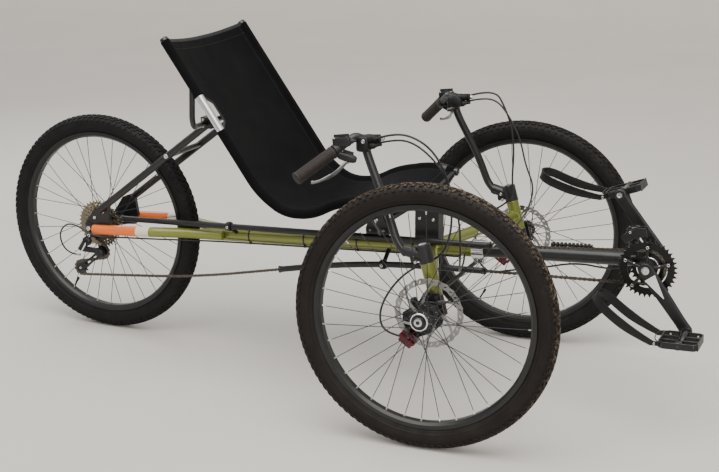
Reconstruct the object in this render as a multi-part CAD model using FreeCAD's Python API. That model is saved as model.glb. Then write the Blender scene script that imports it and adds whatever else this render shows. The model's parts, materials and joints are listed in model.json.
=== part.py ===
import FreeCAD, Part
import math
import os

# A recumbent tricycle with two steered wheels in front and one driven wheel behind.
# Millimetres, X forward, Y to the left, Z up. The layout is measured from the rear axle at
# X = 0 with the ground at Z = 0, and everything is moved back by frame_middle at the end, so
# that the origin is on the ground under the middle of the whole vehicle.

Vector = FreeCAD.Vector

# Wheels, the same size front and rear
wheel_radius = 338.0
tyre_width = 56.0
tyre_wall = 5.0
rim_width = 32.0
rim_inner_radius = 269.0
rim_seat_radius = 280.0
rim_flange_radius = 285.0
rim_flange = 3.0
spoke_radius = 1.0
spokes_per_side = 18

# Stance and steering
wheelbase = 1231.0
track = 846.0
camber = 0.7
caster = 16.0
rest_steer = 4.6
kingpin_setback = 9.0
kingpin_inset = 86.0
kingpin_x = wheelbase - kingpin_setback
kingpin_y = track / 2 - kingpin_inset
kingpin_z = 410.0
kingpin_radius = 9.0
head_tube_radius = 18.0
head_tube_length = 86.0
running_gap = 0.05
shoulder_gap = 0.4
stub_axle_radius = 10.0
steering_arm = 62.0
tie_rod_radius = 6.0
tie_rod_drop = 38.5
tie_pin_radius = 4.0
tie_open_gap = 0.5
bar_clamp_height = 46.0

# Frame tubes and their threaded places
boss_places = (560.0, 624.0)
boss_radius = 6.0
boss_height = 3.0
boss_depth = 10.0
thread_radius = 2.1
eyelet = (20.0, 373.0)
main_tube_radius = 21.5
main_tube_wall = 2.0
main_tube_rear = 372.0
main_tube_front = 1248.0
spine_start = (390.0, 346.0)
spine_end = (1700.0, 424.0)
bottom_bracket = (1700.0, 419.5)
boom_gap = 0.1
boom_insert = 220.0
chainstay_radius = 15.0
seat_stay_radius = 11.0
cross_arm_radius = 17.0
cross_arm_root = 1092.0
hub_spacing = 135.0
dropout_thickness = 12.0
weld_depth = 2.0

# Seat
rail_spacing = 424.0
rail_radius = 11.0
hoop_radius = 8.0
sling_thickness = 5.0
sling_sag = 26.0
soft_gap = 0.3

# Drive train
crank_length = 185.0
crank_angle = -53.0
chain_width = 6.6
chain_height = 8.0
chain_gap = 0.3
cog_pitch = 4.35
first_cog = 29.5
cog_teeth = (36, 32, 28, 24, 21, 18, 15, 13, 11)
chain_cog = 6
big_ring_teeth = 36
small_ring_teeth = 22
ring_spacing = 8.5
pulley_teeth = 11
chain_tube_radius = 8.5
chain_tube_bore = 6.5
pedal_offset = 151.0
pedal_length = 96.0
pedal_width = 92.0

# Cables and hoses
boom_rail_radius = 7.0
cable_radius = 2.5
hose_radius = 2.75

AXIS_Y = Vector(0, 1, 0)
SIDES = {"left": 1, "right": -1}


# --- shapes used throughout ---

def rod(start, end, radius):
    run = end - start
    return Part.makeCylinder(radius, run.Length, start, run)


def sleeve(start, end, radius, bore):
    return rod(start, end, radius).cut(rod(start, end, bore))


def rounded_path(points, share=0.45):
    """Straight runs joined by tangent arcs that use up a share of the shorter run."""
    edges = []
    start = points[0]
    for before, corner, after in zip(points, points[1:], points[2:]):
        run_in = corner - before
        run_out = after - corner
        turn = run_in.getAngle(run_out)
        cut_back = share * min(run_in.Length, run_out.Length)
        radius = cut_back / math.tan(turn / 2)
        unit_in = run_in.normalize()
        unit_out = run_out.normalize()
        inward = (unit_out - unit_in).normalize()
        centre = corner + inward * (radius / math.cos(turn / 2))
        enter = corner - unit_in * cut_back
        leave = corner + unit_out * cut_back
        edges.append(Part.LineSegment(start, enter).toShape())
        edges.append(Part.Arc(enter, centre - inward * radius, leave).toShape())
        start = leave
    edges.append(Part.LineSegment(start, points[-1]).toShape())
    return Part.Wire(edges)


def bent_tube(points, radius, share=0.45):
    circle = Part.Wire(Part.makeCircle(radius, points[0], points[1] - points[0]))
    return rounded_path(points, share).makePipeShell([circle], True, False)


def lathe(profile, centre=Vector()):
    """Turn (y, radius) corners about an axis along Y."""
    corners = [Vector(radius, y, 0) for y, radius in profile]
    face = Part.Face(Part.makePolygon(corners + corners[:1]))
    return face.revolve(Vector(), AXIS_Y, 360).translated(centre)


def upright_plate(outline, y_near, y_far):
    """A flat plate parallel to the XZ plane, from its (x, z) outline."""
    corners = [Vector(x, y_near, z) for x, z in outline]
    face = Part.Face(Part.makePolygon(corners + corners[:1]))
    return face.extrude(Vector(0, y_far - y_near, 0))


def box_between(low, high):
    size = high - low
    return Part.makeBox(size.x, size.y, size.z, low)


def mirrored(shape):
    return shape.mirror(Vector(), AXIS_Y)


def fused(shapes):
    return shapes[0].fuse(shapes[1:]).removeSplitter()


def spine_height(x):
    slope = (spine_end[1] - spine_start[1]) / (spine_end[0] - spine_start[0])
    return spine_start[1] + slope * (x - spine_start[0])


def spine_point(x, rise=0.0):
    return Vector(x, 0, spine_height(x) + rise)


# --- frame ---

rear_axle_radius = 6.0
axle_end = 6.0
dropout_face = hub_spacing / 2
dropout_outer = dropout_face + dropout_thickness
chainstay_y = dropout_outer + chainstay_radius - weld_depth
seat_stay_y = dropout_outer + seat_stay_radius - weld_depth


def main_tube_envelope(radius=main_tube_radius):
    return rod(spine_point(main_tube_rear), spine_point(main_tube_front), radius)


def boss_point(x, drop):
    """A point below the main tube's axis, square to the tube."""
    along = (spine_point(x + 1) - spine_point(x)).normalize()
    return spine_point(x) + along.cross(AXIS_Y) * -drop


def make_main_tube():
    """A tube that is open at the front for the boom, with two threaded bosses below."""
    bore_start = spine_point(main_tube_rear + main_tube_wall)
    bore = rod(bore_start, spine_point(main_tube_front), main_tube_radius - main_tube_wall)
    tube = main_tube_envelope().cut(bore)
    outside = main_tube_radius + boss_height
    bosses = []
    holes = []
    for x in boss_places:
        bosses.append(rod(boss_point(x, outside - boss_depth), boss_point(x, outside), boss_radius))
        deep = boss_point(x, outside - boss_depth - 1)
        holes.append(rod(deep, boss_point(x, outside + 1), thread_radius))
    return fused([tube] + bosses).cut(holes)


def make_chainstays():
    stays = []
    for side in SIDES.values():
        path = [Vector(24, side * chainstay_y, 339), Vector(215, side * (chainstay_y - 4), 352),
                Vector(330, side * (main_tube_radius + 30), 352),
                Vector(440, side * (main_tube_radius + 8), 352)]
        stays.append(bent_tube(path, chainstay_radius, 0.3).cut(main_tube_envelope()))
    return Part.makeCompound([stay.cut(make_dropouts()) for stay in stays])


dropout_outline = [(-16, 326), (-6, 312), (64, 320), (76, 350), (68, 402), (46, 414), (22, 404), (-14, 352)]


def make_dropouts():
    plates = []
    for side in SIDES.values():
        plates.append(upright_plate(dropout_outline, side * dropout_face, side * dropout_outer))
    rear_axle = Vector(0, 0, wheel_radius)
    reach = AXIS_Y * (dropout_outer + axle_end)
    axle = rod(rear_axle - reach, rear_axle + reach, rear_axle_radius)
    eyelet_middle = Vector(eyelet[0], 0, eyelet[1])
    holes = rod(eyelet_middle - AXIS_Y * dropout_outer, eyelet_middle + AXIS_Y * dropout_outer, thread_radius)
    return fused(plates + [axle]).cut(holes)


def make_seat_stays():
    pieces = []
    for side in SIDES.values():
        y = side * seat_stay_y
        pieces.append(rod(Vector(45, y, 400), Vector(436, y, 694), seat_stay_radius))
        clamp_low = Vector(424, y - 15, 686)
        pieces.append(box_between(clamp_low, clamp_low + Vector(34, 30, 32)))
    pieces.append(rod(Vector(300, -seat_stay_y, 592), Vector(300, seat_stay_y, 592), 8))
    return fused(pieces).cut(hoop_tube()).cut(make_dropouts())


def make_boom():
    radius = main_tube_radius - main_tube_wall - boom_gap
    bracket = Vector(bottom_bracket[0], 0, bottom_bracket[1])
    tube = rod(spine_point(main_tube_front - boom_insert), spine_point(bottom_bracket[0]), radius)
    shell = rod(bracket + AXIS_Y * 34, bracket - AXIS_Y * 34, 22)
    bore = rod(bracket + AXIS_Y * 34, bracket - AXIS_Y * 34, spindle_radius + running_gap)
    post = rod(spine_point(1652), spine_point(1648, 86), 14)
    return fused([tube, shell, post]).cut(bore)


clamp_length = 34.0
clamp_wall = 5.0


def make_boom_clamp():
    """A split ring on the end of the main tube, with two ears below for its bolt."""
    rear = spine_point(main_tube_front - clamp_length)
    front = spine_point(main_tube_front)
    ear_top = spine_height(main_tube_front) - main_tube_radius
    ears = box_between(Vector(rear.x + 2, -9, ear_top - 16), Vector(front.x - 2, 9, ear_top))
    ring = fused([rod(rear, front, main_tube_radius + clamp_wall), ears])
    slit = box_between(Vector(rear.x - 8, -1, ear_top - 40), Vector(front.x + 10, 1, spine_height(front.x)))
    return ring.cut(slit).cut(main_tube_envelope())


head_tube_axis = Vector(-math.sin(math.radians(caster)), 0, math.cos(math.radians(caster)))
kingpin_point = Vector(kingpin_x, kingpin_y, kingpin_z)


def on_kingpin(distance):
    return kingpin_point + head_tube_axis * distance


def cross_tube():
    return rod(spine_point(cross_arm_root), kingpin_point - head_tube_axis * 4, cross_arm_radius)


def make_cross_arm():
    half = head_tube_length / 2
    head = rod(on_kingpin(-half), on_kingpin(half), head_tube_radius)
    bore = rod(on_kingpin(-half), on_kingpin(half), kingpin_radius + running_gap)
    welded = max(cross_tube().cut(main_tube_envelope()).Solids, key=lambda solid: solid.Volume)
    return fused([welded, head]).cut(bore)


# --- seat ---

rail_y = rail_spacing / 2
rail_profile = [(383, 950), (668, 549), (745, 498), (828, 502), (900, 541), (1005, 563), (1085, 552)]


def rail_tube(side):
    return bent_tube([Vector(x, side * rail_y, z) for x, z in rail_profile], rail_radius)


def seat_rails():
    return [rail_tube(side) for side in SIDES.values()]


hoop_profile = [(468, rail_y, 824), (463, rail_y, 708), (441, rail_y - 80, 702)]


def hoop_tube():
    left = [Vector(x, y, z) for x, y, z in hoop_profile]
    right = [Vector(x, -y, z) for x, y, z in reversed(hoop_profile)]
    return bent_tube(left + right, hoop_radius)


def make_seat_hoop():
    return hoop_tube().cut(seat_rails())


seat_bar_x = 1044.0
seat_bar_z = 512.0
seat_bar_radius = 9.0
tower_length = 69.0
tower_half_width = 20.0


def make_seat_bracket():
    """A bar under the front of the seat, on a tower that saddles the main tube."""
    rail_z = 558.0
    bar = bent_tube([Vector(seat_bar_x, rail_y, rail_z), Vector(seat_bar_x + 4, rail_y, seat_bar_z),
                     Vector(seat_bar_x + 4, -rail_y, seat_bar_z), Vector(seat_bar_x, -rail_y, rail_z)],
                    seat_bar_radius)
    low = Vector(seat_bar_x + 4, -tower_half_width, spine_height(seat_bar_x) + 8)
    tower = box_between(low, Vector(low.x + tower_length, tower_half_width, seat_bar_z))
    shape = fused([bar, tower]).cut(main_tube_envelope()).cut(seat_rails())
    return shape.cut([cross_tube(), mirrored(cross_tube())])


def make_seat_sling():
    """One sheet between the rails that follows their profile and sags between them."""
    half = rail_y - rail_radius - soft_gap
    path = rounded_path([Vector(x, 0, z) for x, z in rail_profile[:-1]] + [Vector(1074, 0, 553.5)])
    start = Vector(rail_profile[0][0], 0, rail_profile[0][1])
    along = (Vector(rail_profile[1][0], 0, rail_profile[1][1]) - start).normalize()
    back = along.cross(AXIS_Y)
    back = back if back.x < 0 else back * -1
    start = start + along * 22

    def edge(offset):
        return Part.Arc(start + AXIS_Y * half + back * offset, start + back * (sling_sag + offset),
                        start - AXIS_Y * half + back * offset).toShape()

    front, rear = edge(-sling_thickness / 2), edge(sling_thickness / 2)
    ends = [Part.LineSegment(front.Vertexes[i].Point, rear.Vertexes[i].Point).toShape() for i in (0, 1)]
    section = Part.Wire(Part.__sortEdges__([front, ends[1], rear, ends[0]]))
    pipe = Part.BRepOffsetAPI.MakePipeShell(path)
    pipe.setBiNormalMode(AXIS_Y)
    pipe.add(section)
    pipe.build()
    pipe.makeSolid()
    return pipe.shape()


# --- wheels: built about their own centre, with the hub along Y and the outside at +Y ---

def make_tyre():
    """A hollow ring with two beads that sit on the rim between its flanges."""
    bead = rim_width / 2 - rim_flange - 0.1
    bead_inside = bead - tyre_wall
    half = tyre_width / 2
    middle = wheel_radius - half
    mouth = math.sqrt(half ** 2 - (middle - rim_flange_radius) ** 2)
    inner = half - tyre_wall
    throat = max(middle - math.sqrt(inner ** 2 - bead_inside ** 2), rim_seat_radius + 1)

    def cross(start_radius, y, crown):
        corners = [Vector(start_radius, y, 0), Vector(crown, 0, 0), Vector(start_radius, -y, 0)]
        return Part.Arc(*corners).toShape()

    right_side = [(rim_flange_radius, -mouth), (rim_flange_radius, -bead), (rim_seat_radius, -bead),
                  (rim_seat_radius, -bead_inside), (throat, -bead_inside)]
    edges = [cross(rim_flange_radius, mouth, wheel_radius)]
    for near, far in zip(right_side, right_side[1:]):
        edges.append(Part.makeLine(Vector(*near, 0), Vector(*far, 0)))
    edges.append(cross(throat, -bead_inside, wheel_radius - tyre_wall))
    left_side = [(radius, -y) for radius, y in reversed(right_side)]
    for near, far in zip(left_side, left_side[1:]):
        edges.append(Part.makeLine(Vector(*near, 0), Vector(*far, 0)))
    return Part.Face(Part.Wire(edges)).revolve(Vector(), AXIS_Y, 360)


def make_rim():
    half = rim_width / 2
    left_side = [(9, rim_inner_radius), (half, rim_inner_radius + 6), (half, rim_flange_radius),
                 (half - rim_flange, rim_flange_radius), (half - rim_flange, rim_seat_radius)]
    return lathe(left_side + [(-y, radius) for y, radius in reversed(left_side)])


flange_width = 3.5


def make_spokes(flanges):
    """Three-cross lacing: each flange is (y of its middle, radius of its holes)."""
    spokes = []
    step = 2 * math.pi / spokes_per_side
    for number, (flange_y, hole_radius) in enumerate(flanges):
        for index in range(spokes_per_side):
            lead = 1 if index % 2 else -1
            hub_angle = (index + number / 2) * step
            rim_angle = hub_angle + 3 * lead * step
            beside = flange_y + lead * (flange_width / 2 + spoke_radius - 0.2)
            rim_y = math.copysign(3, flange_y)
            start = Vector(hole_radius * math.cos(hub_angle), beside, hole_radius * math.sin(hub_angle))
            end_radius = rim_inner_radius + 3
            end = Vector(end_radius * math.cos(rim_angle), rim_y, end_radius * math.sin(rim_angle))
            spokes.append(rod(start, end, spoke_radius))
    return Part.makeCompound(spokes)


front_flanges = [(-26.0, 25.0), (26.5, 23.0)]
disc_y = -40.0
disc_radius = 90.0
disc_thickness = 1.8
disc_bore = 20.0
hub_inner_end = -45.0
hub_outer_end = 42.0


def flange_profile(middle, hole_radius, shell_radius):
    half = flange_width / 2
    edge = hole_radius + 3.5
    return [(middle - half - 3, shell_radius), (middle - half, edge), (middle + half, edge),
            (middle + half + 3, shell_radius)]


def make_front_hub():
    bore = stub_axle_radius + running_gap
    shoulder = disc_y + disc_thickness / 2
    profile = [(hub_inner_end, bore), (hub_inner_end, disc_bore), (shoulder, disc_bore), (shoulder, disc_bore + 4),
               (shoulder + 4, disc_bore + 4)]
    profile += flange_profile(*front_flanges[0], 19) + flange_profile(*front_flanges[1], 19)
    profile += [(hub_outer_end - 8, 21), (hub_outer_end, 21), (hub_outer_end, bore)]
    return lathe(profile)


def make_disc():
    half = disc_thickness / 2
    disc = lathe([(disc_y - half, disc_bore), (disc_y - half, disc_radius), (disc_y + half, disc_radius),
                  (disc_y + half, disc_bore)])
    windows = []
    for index in range(6):
        angle = math.radians(60 * index)
        centre = Vector(48 * math.cos(angle), disc_y - half, 48 * math.sin(angle))
        windows.append(rod(centre, centre + AXIS_Y * disc_thickness, 17))
    return disc.cut(windows)


rear_flanges = [(-19.0, 26.0), (34.0, 26.0)]
freehub_radius = 17.0
cassette_y = [-(first_cog + cog_pitch * index) for index in range(len(cog_teeth))]


def pitch_radius(teeth):
    return teeth * 12.7 / (2 * math.pi)


def root_radius(teeth):
    return pitch_radius(teeth) - chain_height / 2 - chain_gap


def make_rear_hub():
    end = dropout_face - shoulder_gap
    bore = rear_axle_radius + running_gap
    profile = [(-end, bore), (-end, freehub_radius), (-25, freehub_radius)]
    profile += flange_profile(*rear_flanges[0], 18) + flange_profile(*rear_flanges[1], 18)
    profile += [(end - 12, 16), (end, 14), (end, bore)]
    return lathe(profile)


def make_cassette():
    """Sprockets cut to the bottom of their teeth, on spacers that slide on the hub body."""
    profile = [(cassette_y[0] + 1, freehub_radius)]
    for y, teeth in zip(cassette_y, cog_teeth):
        radius = root_radius(teeth)
        profile += [(y + 1, radius), (y - 1, radius), (y - 1, freehub_radius + 1.5),
                    (y - cog_pitch + 1, freehub_radius + 1.5)]
    profile = profile[:-1] + [(cassette_y[-1] - 1, freehub_radius)]
    return lathe(profile)


# --- front corners: the left one is built straight ahead, mirrored for the right one, and
#     both are turned about their kingpins by rest_steer ---

def turned(point, side, angle):
    """A straight-ahead point of one side after the steering has turned by an angle."""
    pivot = Vector(kingpin_x, side * kingpin_y, kingpin_z)
    rotation = FreeCAD.Rotation(head_tube_axis, angle)
    return pivot + rotation.multVec(point - pivot)


def axle_height(side):
    """Height of a straight-ahead hub that brings its wheel onto the ground at rest_steer."""
    centre = Vector(wheelbase, side * track / 2, wheel_radius)
    return 2 * wheel_radius - turned(centre, side, rest_steer).z


def to_corner(shape, side):
    if side < 0:
        shape = mirrored(shape)
    return shape.rotated(Vector(kingpin_x, side * kingpin_y, kingpin_z), head_tube_axis, rest_steer)


def to_axle(shape, side):
    """Place a wheel-centred shape on the left stub axle, with its camber."""
    leaned = shape.rotated(Vector(), Vector(1, 0, 0), camber)
    return leaned.translated(Vector(wheelbase, track / 2, axle_height(side)))


carrier_outline = [(kingpin_x + ahead, z) for ahead, z in (
    (-10, 382), (30, 384), (44, 332), (40, 306), (16, 280), (-26, 262), (-52, 266), (-64, 290),
    (-64, 324), (-24, 354))]
carrier_inner = kingpin_y + head_tube_radius + 6
carrier_thickness = 7.0
tie_pivot = Vector(kingpin_x, kingpin_y, kingpin_z) - head_tube_axis * (head_tube_length / 2 + tie_rod_drop)
tie_pivot = tie_pivot - Vector(steering_arm, 0, 0)


def make_knuckle(side):
    half = head_tube_length / 2
    pin = rod(on_kingpin(-half - 50), on_kingpin(half + bar_clamp_height), kingpin_radius)
    foot = rod(on_kingpin(-half - 52), on_kingpin(-half - shoulder_gap), head_tube_radius + 1)
    inner_face = hub_inner_end - shoulder_gap
    outer_face = hub_outer_end + shoulder_gap
    stub_end = AXIS_Y * (hub_outer_end + 4)
    stub = to_axle(rod(AXIS_Y * (kingpin_y - track / 2), stub_end, stub_axle_radius), side)
    collar = to_axle(rod(AXIS_Y * (carrier_inner - track / 2), AXIS_Y * inner_face, 15), side)
    nut = to_axle(rod(AXIS_Y * outer_face, stub_end, 15), side)
    plate = upright_plate(carrier_outline, carrier_inner, carrier_inner + carrier_thickness)
    arm = rod(on_kingpin(-half - tie_rod_drop + 11), tie_pivot + head_tube_axis * 11, 7)
    eye = rod(tie_pivot + head_tube_axis * 1, tie_pivot + head_tube_axis * 19, 10)
    tie_pin = rod(tie_pivot - head_tube_axis * 16, tie_pivot + head_tube_axis * 10, tie_pin_radius)
    link = rod(Vector(kingpin_x + 16, kingpin_y, 336), Vector(kingpin_x + 16, carrier_inner + 3, 336), 15)
    return fused([foot, pin, link, plate, stub, collar, nut, arm, eye, tie_pin])


# Handlebar bends, ahead of and outward of the kingpin
bar_points = [(kingpin_x + ahead, kingpin_y + outward, z) for ahead, outward, z in (
    (-62, 8, 470), (-88, 8, 498), (-122, -1, 587), (-178, -25, 702), (-198, -24, 764), (-314, 111, 664))]
bar_radius = 11.0


def bar_vectors():
    return [Vector(x, y, z) for x, y, z in bar_points]


def make_handlebar():
    half = head_tube_length / 2
    low = on_kingpin(half + shoulder_gap)
    high = on_kingpin(half + bar_clamp_height)
    clamp = rod(low, high, 19)
    points = bar_vectors()
    lug = rod(on_kingpin(half + 18), points[0] + (points[1] - points[0]) * 0.4, 15)
    bore = rod(low, high + head_tube_axis * 20, kingpin_radius)
    return fused([clamp, lug, bent_tube(points, bar_radius)]).cut(bore)


def grip_point(distance):
    """A point on the grip's axis, measured back from the bar's end."""
    points = bar_vectors()
    along = (points[-2] - points[-1]).normalize()
    return points[-1] + along * distance


grip_length = 116.0


def make_grip():
    end = rod(grip_point(-4), grip_point(0), 16)
    return fused([sleeve(grip_point(0), grip_point(grip_length), 16, bar_radius), end])


def make_brake_lever():
    ring = sleeve(grip_point(grip_length + 2), grip_point(grip_length + 16), 17, bar_radius)
    middle = grip_point(grip_length + 9)
    body = rod(middle + Vector(10, 4, -12), middle + Vector(52, 2, -22), 11)
    blade = bent_tube([middle + Vector(34, 4, -22), middle + Vector(14, 46, -50), middle + Vector(-22, 90, -67)], 5)
    return fused([ring, body, blade])


control_front = 50.0


def make_shifter():
    points = bar_vectors()
    centre = points[3] * 0.45 + points[4] * 0.55
    body = box_between(centre + Vector(-20, -21, -22), centre + Vector(control_front, 21, 22))
    return body.cut(bent_tube(points, bar_radius))


def make_brake_caliper():
    """Two pad housings joined over the edge of the disc, bolted to the carrier."""
    disc_plane = track / 2 + disc_y
    low = Vector(kingpin_x - 64, carrier_inner + carrier_thickness, 240)
    high = Vector(kingpin_x - 16, disc_plane + 14, 296)
    block = box_between(low, high)
    edge = disc_radius + 5
    slot = lathe([(disc_y - 3, 30), (disc_y - 3, edge), (disc_y + 3, edge), (disc_y + 3, 30)])
    return block.cut(to_axle(slot, 1))


def make_tie_rod():
    shift = turned(tie_pivot, 1, rest_steer) - tie_pivot
    ends = []
    for side, gap in ((1, running_gap), (-1, tie_open_gap)):
        pivot = Vector(tie_pivot.x, side * tie_pivot.y, tie_pivot.z)
        eye = rod(pivot - head_tube_axis * 1, pivot - head_tube_axis * 13, 11)
        hole = rod(pivot - head_tube_axis * 20, pivot + head_tube_axis * 5, tie_pin_radius + gap)
        ends.append((pivot, eye, hole))
    middle = head_tube_axis * 7
    bar = rod(ends[0][0] - middle, ends[1][0] - middle, tie_rod_radius)
    shape = fused([bar, ends[0][1], ends[1][1]])
    return shape.cut([ends[0][2], ends[1][2]]).translated(shift)


# --- drive train ---

spindle_radius = 12.0
chain_y = cassette_y[chain_cog]
big_ring_y = chain_y - ring_spacing
crank_centre = Vector(bottom_bracket[0], 0, bottom_bracket[1])
drive_mouth = (1278.0, 427.0)
drive_tube_rear = 104.0
return_tube_rear = 644.0
return_tube_front = 1264.0
guide_pulley = (24.0, 259.0)
tension_pulley = (-58.0, 198.0)
mouth_bend = 160.0


def bow(x, z, slope, radius, turn):
    """A station whose circle passes through a point on its upper or lower side."""
    lean = math.radians(slope)
    return (x + turn * -radius * math.sin(lean), z + turn * radius * math.cos(lean), radius, turn)


# each station is (x, z, radius, turn): the chain runs round it anticlockwise for +1
stations = [
    (bottom_bracket[0], bottom_bracket[1], pitch_radius(small_ring_teeth), 1),
    (drive_mouth[0], drive_mouth[1] + mouth_bend, mouth_bend, -1),
    (0.0, wheel_radius, pitch_radius(cog_teeth[chain_cog]), 1),
    (guide_pulley[0], guide_pulley[1], pitch_radius(pulley_teeth), -1),
    (tension_pulley[0], tension_pulley[1], pitch_radius(pulley_teeth), 1),
    bow(320.0, 218.0, 8.4, 3000.0, 1),
    bow(962.0, 335.0, 6.4, 2600.0, -1),
]


def chain_runs(offset=0.0):
    """The straight runs between stations, on a line moved outwards by an offset."""
    runs = []
    for here, there in zip(stations, stations[1:] + stations[:1]):
        ax, az, ar, at = here
        bx, bz, br, bt = there
        ar = at * (ar + at * offset)
        br = bt * (br + bt * offset)
        dx, dz = bx - ax, bz - az
        distance = math.hypot(dx, dz)
        # unit normal on the right of travel, tilted so that both circles are touched
        lean = math.asin((ar - br) / distance)
        heading = math.atan2(dz, dx) + lean
        nx, nz = math.sin(heading), -math.cos(heading)
        runs.append((Vector(ax + ar * nx, 0, az + ar * nz), Vector(bx + br * nx, 0, bz + br * nz)))
    return runs


def chain_outline(offset):
    runs = chain_runs(offset)
    edges = []
    for index, (start, end) in enumerate(runs):
        edges.append(Part.LineSegment(start, end).toShape())
        x, z, radius, turn = stations[(index + 1) % len(stations)]
        centre = Vector(x, 0, z)
        leave = runs[(index + 1) % len(runs)][0]
        sweep = (end - centre).getAngle(leave - centre)
        crossing = (end - centre).cross(leave - centre).y * -turn
        if crossing < 0:
            sweep = 2 * math.pi - sweep
        middle = FreeCAD.Rotation(AXIS_Y, -math.degrees(turn * sweep / 2)).multVec(end - centre) + centre
        edges.append(Part.Arc(end, middle, leave).toShape())
    return Part.Face(Part.Wire(edges))


def make_chain():
    outer = chain_outline(chain_height / 2)
    inner = chain_outline(-chain_height / 2)
    band = outer.cut(inner)
    return band.extrude(Vector(0, chain_width, 0)).translated(Vector(0, chain_y - chain_width / 2, 0))


def at_chain(point, y=None):
    return Vector(point.x, chain_y if y is None else y, point.z)


def on_run(run, x):
    """The point at x on one of the chain's straight runs."""
    start, end = run
    return at_chain(start + (end - start) * ((x - start.x) / (end.x - start.x)))


def tube_paths():
    """The drive tube's straight line and the return tube's bowed one."""
    runs = chain_runs()
    drive = Part.makeLine(on_run(runs[1], drive_tube_rear), on_run(runs[1], drive_mouth[0]))
    rear = on_run(runs[5], return_tube_rear)
    front = on_run(runs[6], return_tube_front)
    x, z, radius, turn = stations[6]
    crown = at_chain(bow_middle(runs[5][1], runs[6][0], Vector(x, 0, z), radius))
    enter, leave = at_chain(runs[5][1]), at_chain(runs[6][0])
    bowed = [Part.makeLine(rear, enter), Part.Arc(enter, crown, leave).toShape(), Part.makeLine(leave, front)]
    return [Part.Wire([drive]), Part.Wire(bowed)]


def bow_middle(start, end, centre, radius):
    return centre + ((start + end) * 0.5 - centre).normalize() * radius


def make_chain_tubes():
    tubes = []
    for path in tube_paths():
        start = path.Edges[0].Vertexes[0].Point
        along = path.Edges[0].tangentAt(path.Edges[0].FirstParameter)
        outer, bore = [Part.Wire(Part.makeCircle(radius, start, along)) for radius in (chain_tube_radius, chain_tube_bore)]
        shell = path.makePipeShell([outer], True, False)
        tubes.append(shell.cut(path.makePipeShell([bore], True, False)))
    return Part.makeCompound(tubes)


# where each chain tube is clipped: x, height of the tube's middle there
def clip_points():
    runs = chain_runs()
    x, z, radius, turn = stations[6]
    reach = return_clip_x - x
    bowed = Vector(return_clip_x, chain_y, z + math.sqrt(radius ** 2 - reach ** 2))
    return [(on_run(runs[1], drive_clip_x), runs[1][1] - runs[1][0]), (bowed, (bowed - Vector(x, chain_y, z)).cross(AXIS_Y))]


drive_clip_x = 478.0
return_clip_x = 968.0


def make_chain_tube_brackets():
    """A clip round each tube, on an arm from the main tube."""
    brackets = []
    for middle, along in clip_points():
        along = along.normalize()
        clip = rod(middle - along * 8, middle + along * 8, chain_tube_radius + 4)
        arm = rod(middle, spine_point(middle.x), 6)
        hole = rod(middle - along * 12, middle + along * 12, chain_tube_radius + 0.1)
        bracket = fused([clip, arm]).cut(hole).cut(main_tube_envelope()).cut(cable_beside(cable_radius + 0.1))
        brackets.append(max(bracket.Solids, key=lambda solid: solid.Volume))
    return Part.makeCompound(brackets)


def make_rear_derailleur():
    """Two pulleys in a cage, hung from the right dropout by a slanted body."""
    guide = Vector(guide_pulley[0], chain_y, guide_pulley[1])
    tension = Vector(tension_pulley[0], chain_y, tension_pulley[1])
    pieces = []
    for y in (-7.4, 5.8):
        start = guide + AXIS_Y * y
        end = tension + AXIS_Y * y
        across = (end - start).normalize().cross(AXIS_Y) * 11
        corners = [start + across, end + across, end - across, start - across]
        pieces.append(Part.Face(Part.makePolygon(corners + corners[:1])).extrude(AXIS_Y * 1.6))
        for centre in (start, end):
            pieces.append(rod(centre - AXIS_Y * 0.3, centre + AXIS_Y * 1.9, 14))
    for centre in (guide, tension):
        pieces.append(rod(centre - AXIS_Y * 3, centre + AXIS_Y * 3, root_radius(pulley_teeth)))
        pieces.append(rod(centre - AXIS_Y * 6.5, centre + AXIS_Y * 6.5, 5))
    hanger = Vector(6, -dropout_outer, 319)
    shoulder = hanger + Vector(-14, -16, -20)
    knee = Vector(-28, shoulder.y + 4, 272)
    pieces.append(rod(hanger, hanger - AXIS_Y * 22, 9))
    pieces.append(rod(hanger - AXIS_Y * 15, shoulder, 8))
    pieces.append(rod(shoulder, knee, 11))
    pieces.append(rod(knee, guide - AXIS_Y * 7, 9))
    return pieces[0].fuse(pieces[1:])


def make_front_derailleur():
    """A cage of two curved plates over the large ring, on a clamp from the boom's post."""
    radius = pitch_radius(big_ring_teeth) + chain_height / 2 + 5
    pieces = []
    for y in (big_ring_y - 3.6, chain_y + 5):
        outline = []
        for reach, angles in ((0, (92, 106, 120, 134)), (26, (134, 112, 92))):
            for angle in angles:
                lean = math.radians(angle)
                outline.append((crank_centre.x + (radius + reach) * math.cos(lean),
                                crank_centre.z + (radius + reach) * math.sin(lean)))
        pieces.append(upright_plate(outline, y, y + 1.5))
    post = spine_point(1648, 74)
    pieces.append(rod(post - AXIS_Y * 14, post - AXIS_Y * 38, 10))
    lean = math.radians(118)
    bridge = crank_centre + Vector(math.cos(lean), 0, math.sin(lean)) * (radius + 20)
    pieces.append(rod(at_chain(bridge, big_ring_y - 3.6), at_chain(bridge, chain_y + 7), 4))
    pieces.append(rod(post - AXIS_Y * 30, at_chain(bridge, chain_y + 6), 7))
    return fused(pieces).cut(make_boom())


crank_arm_near = 73.0
crank_arm_far = 87.0


def crank_end(side):
    angle = math.radians(crank_angle if side < 0 else crank_angle + 180)
    return Vector(crank_centre.x + crank_length * math.cos(angle), 0, crank_centre.z + crank_length * math.sin(angle))


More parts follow.
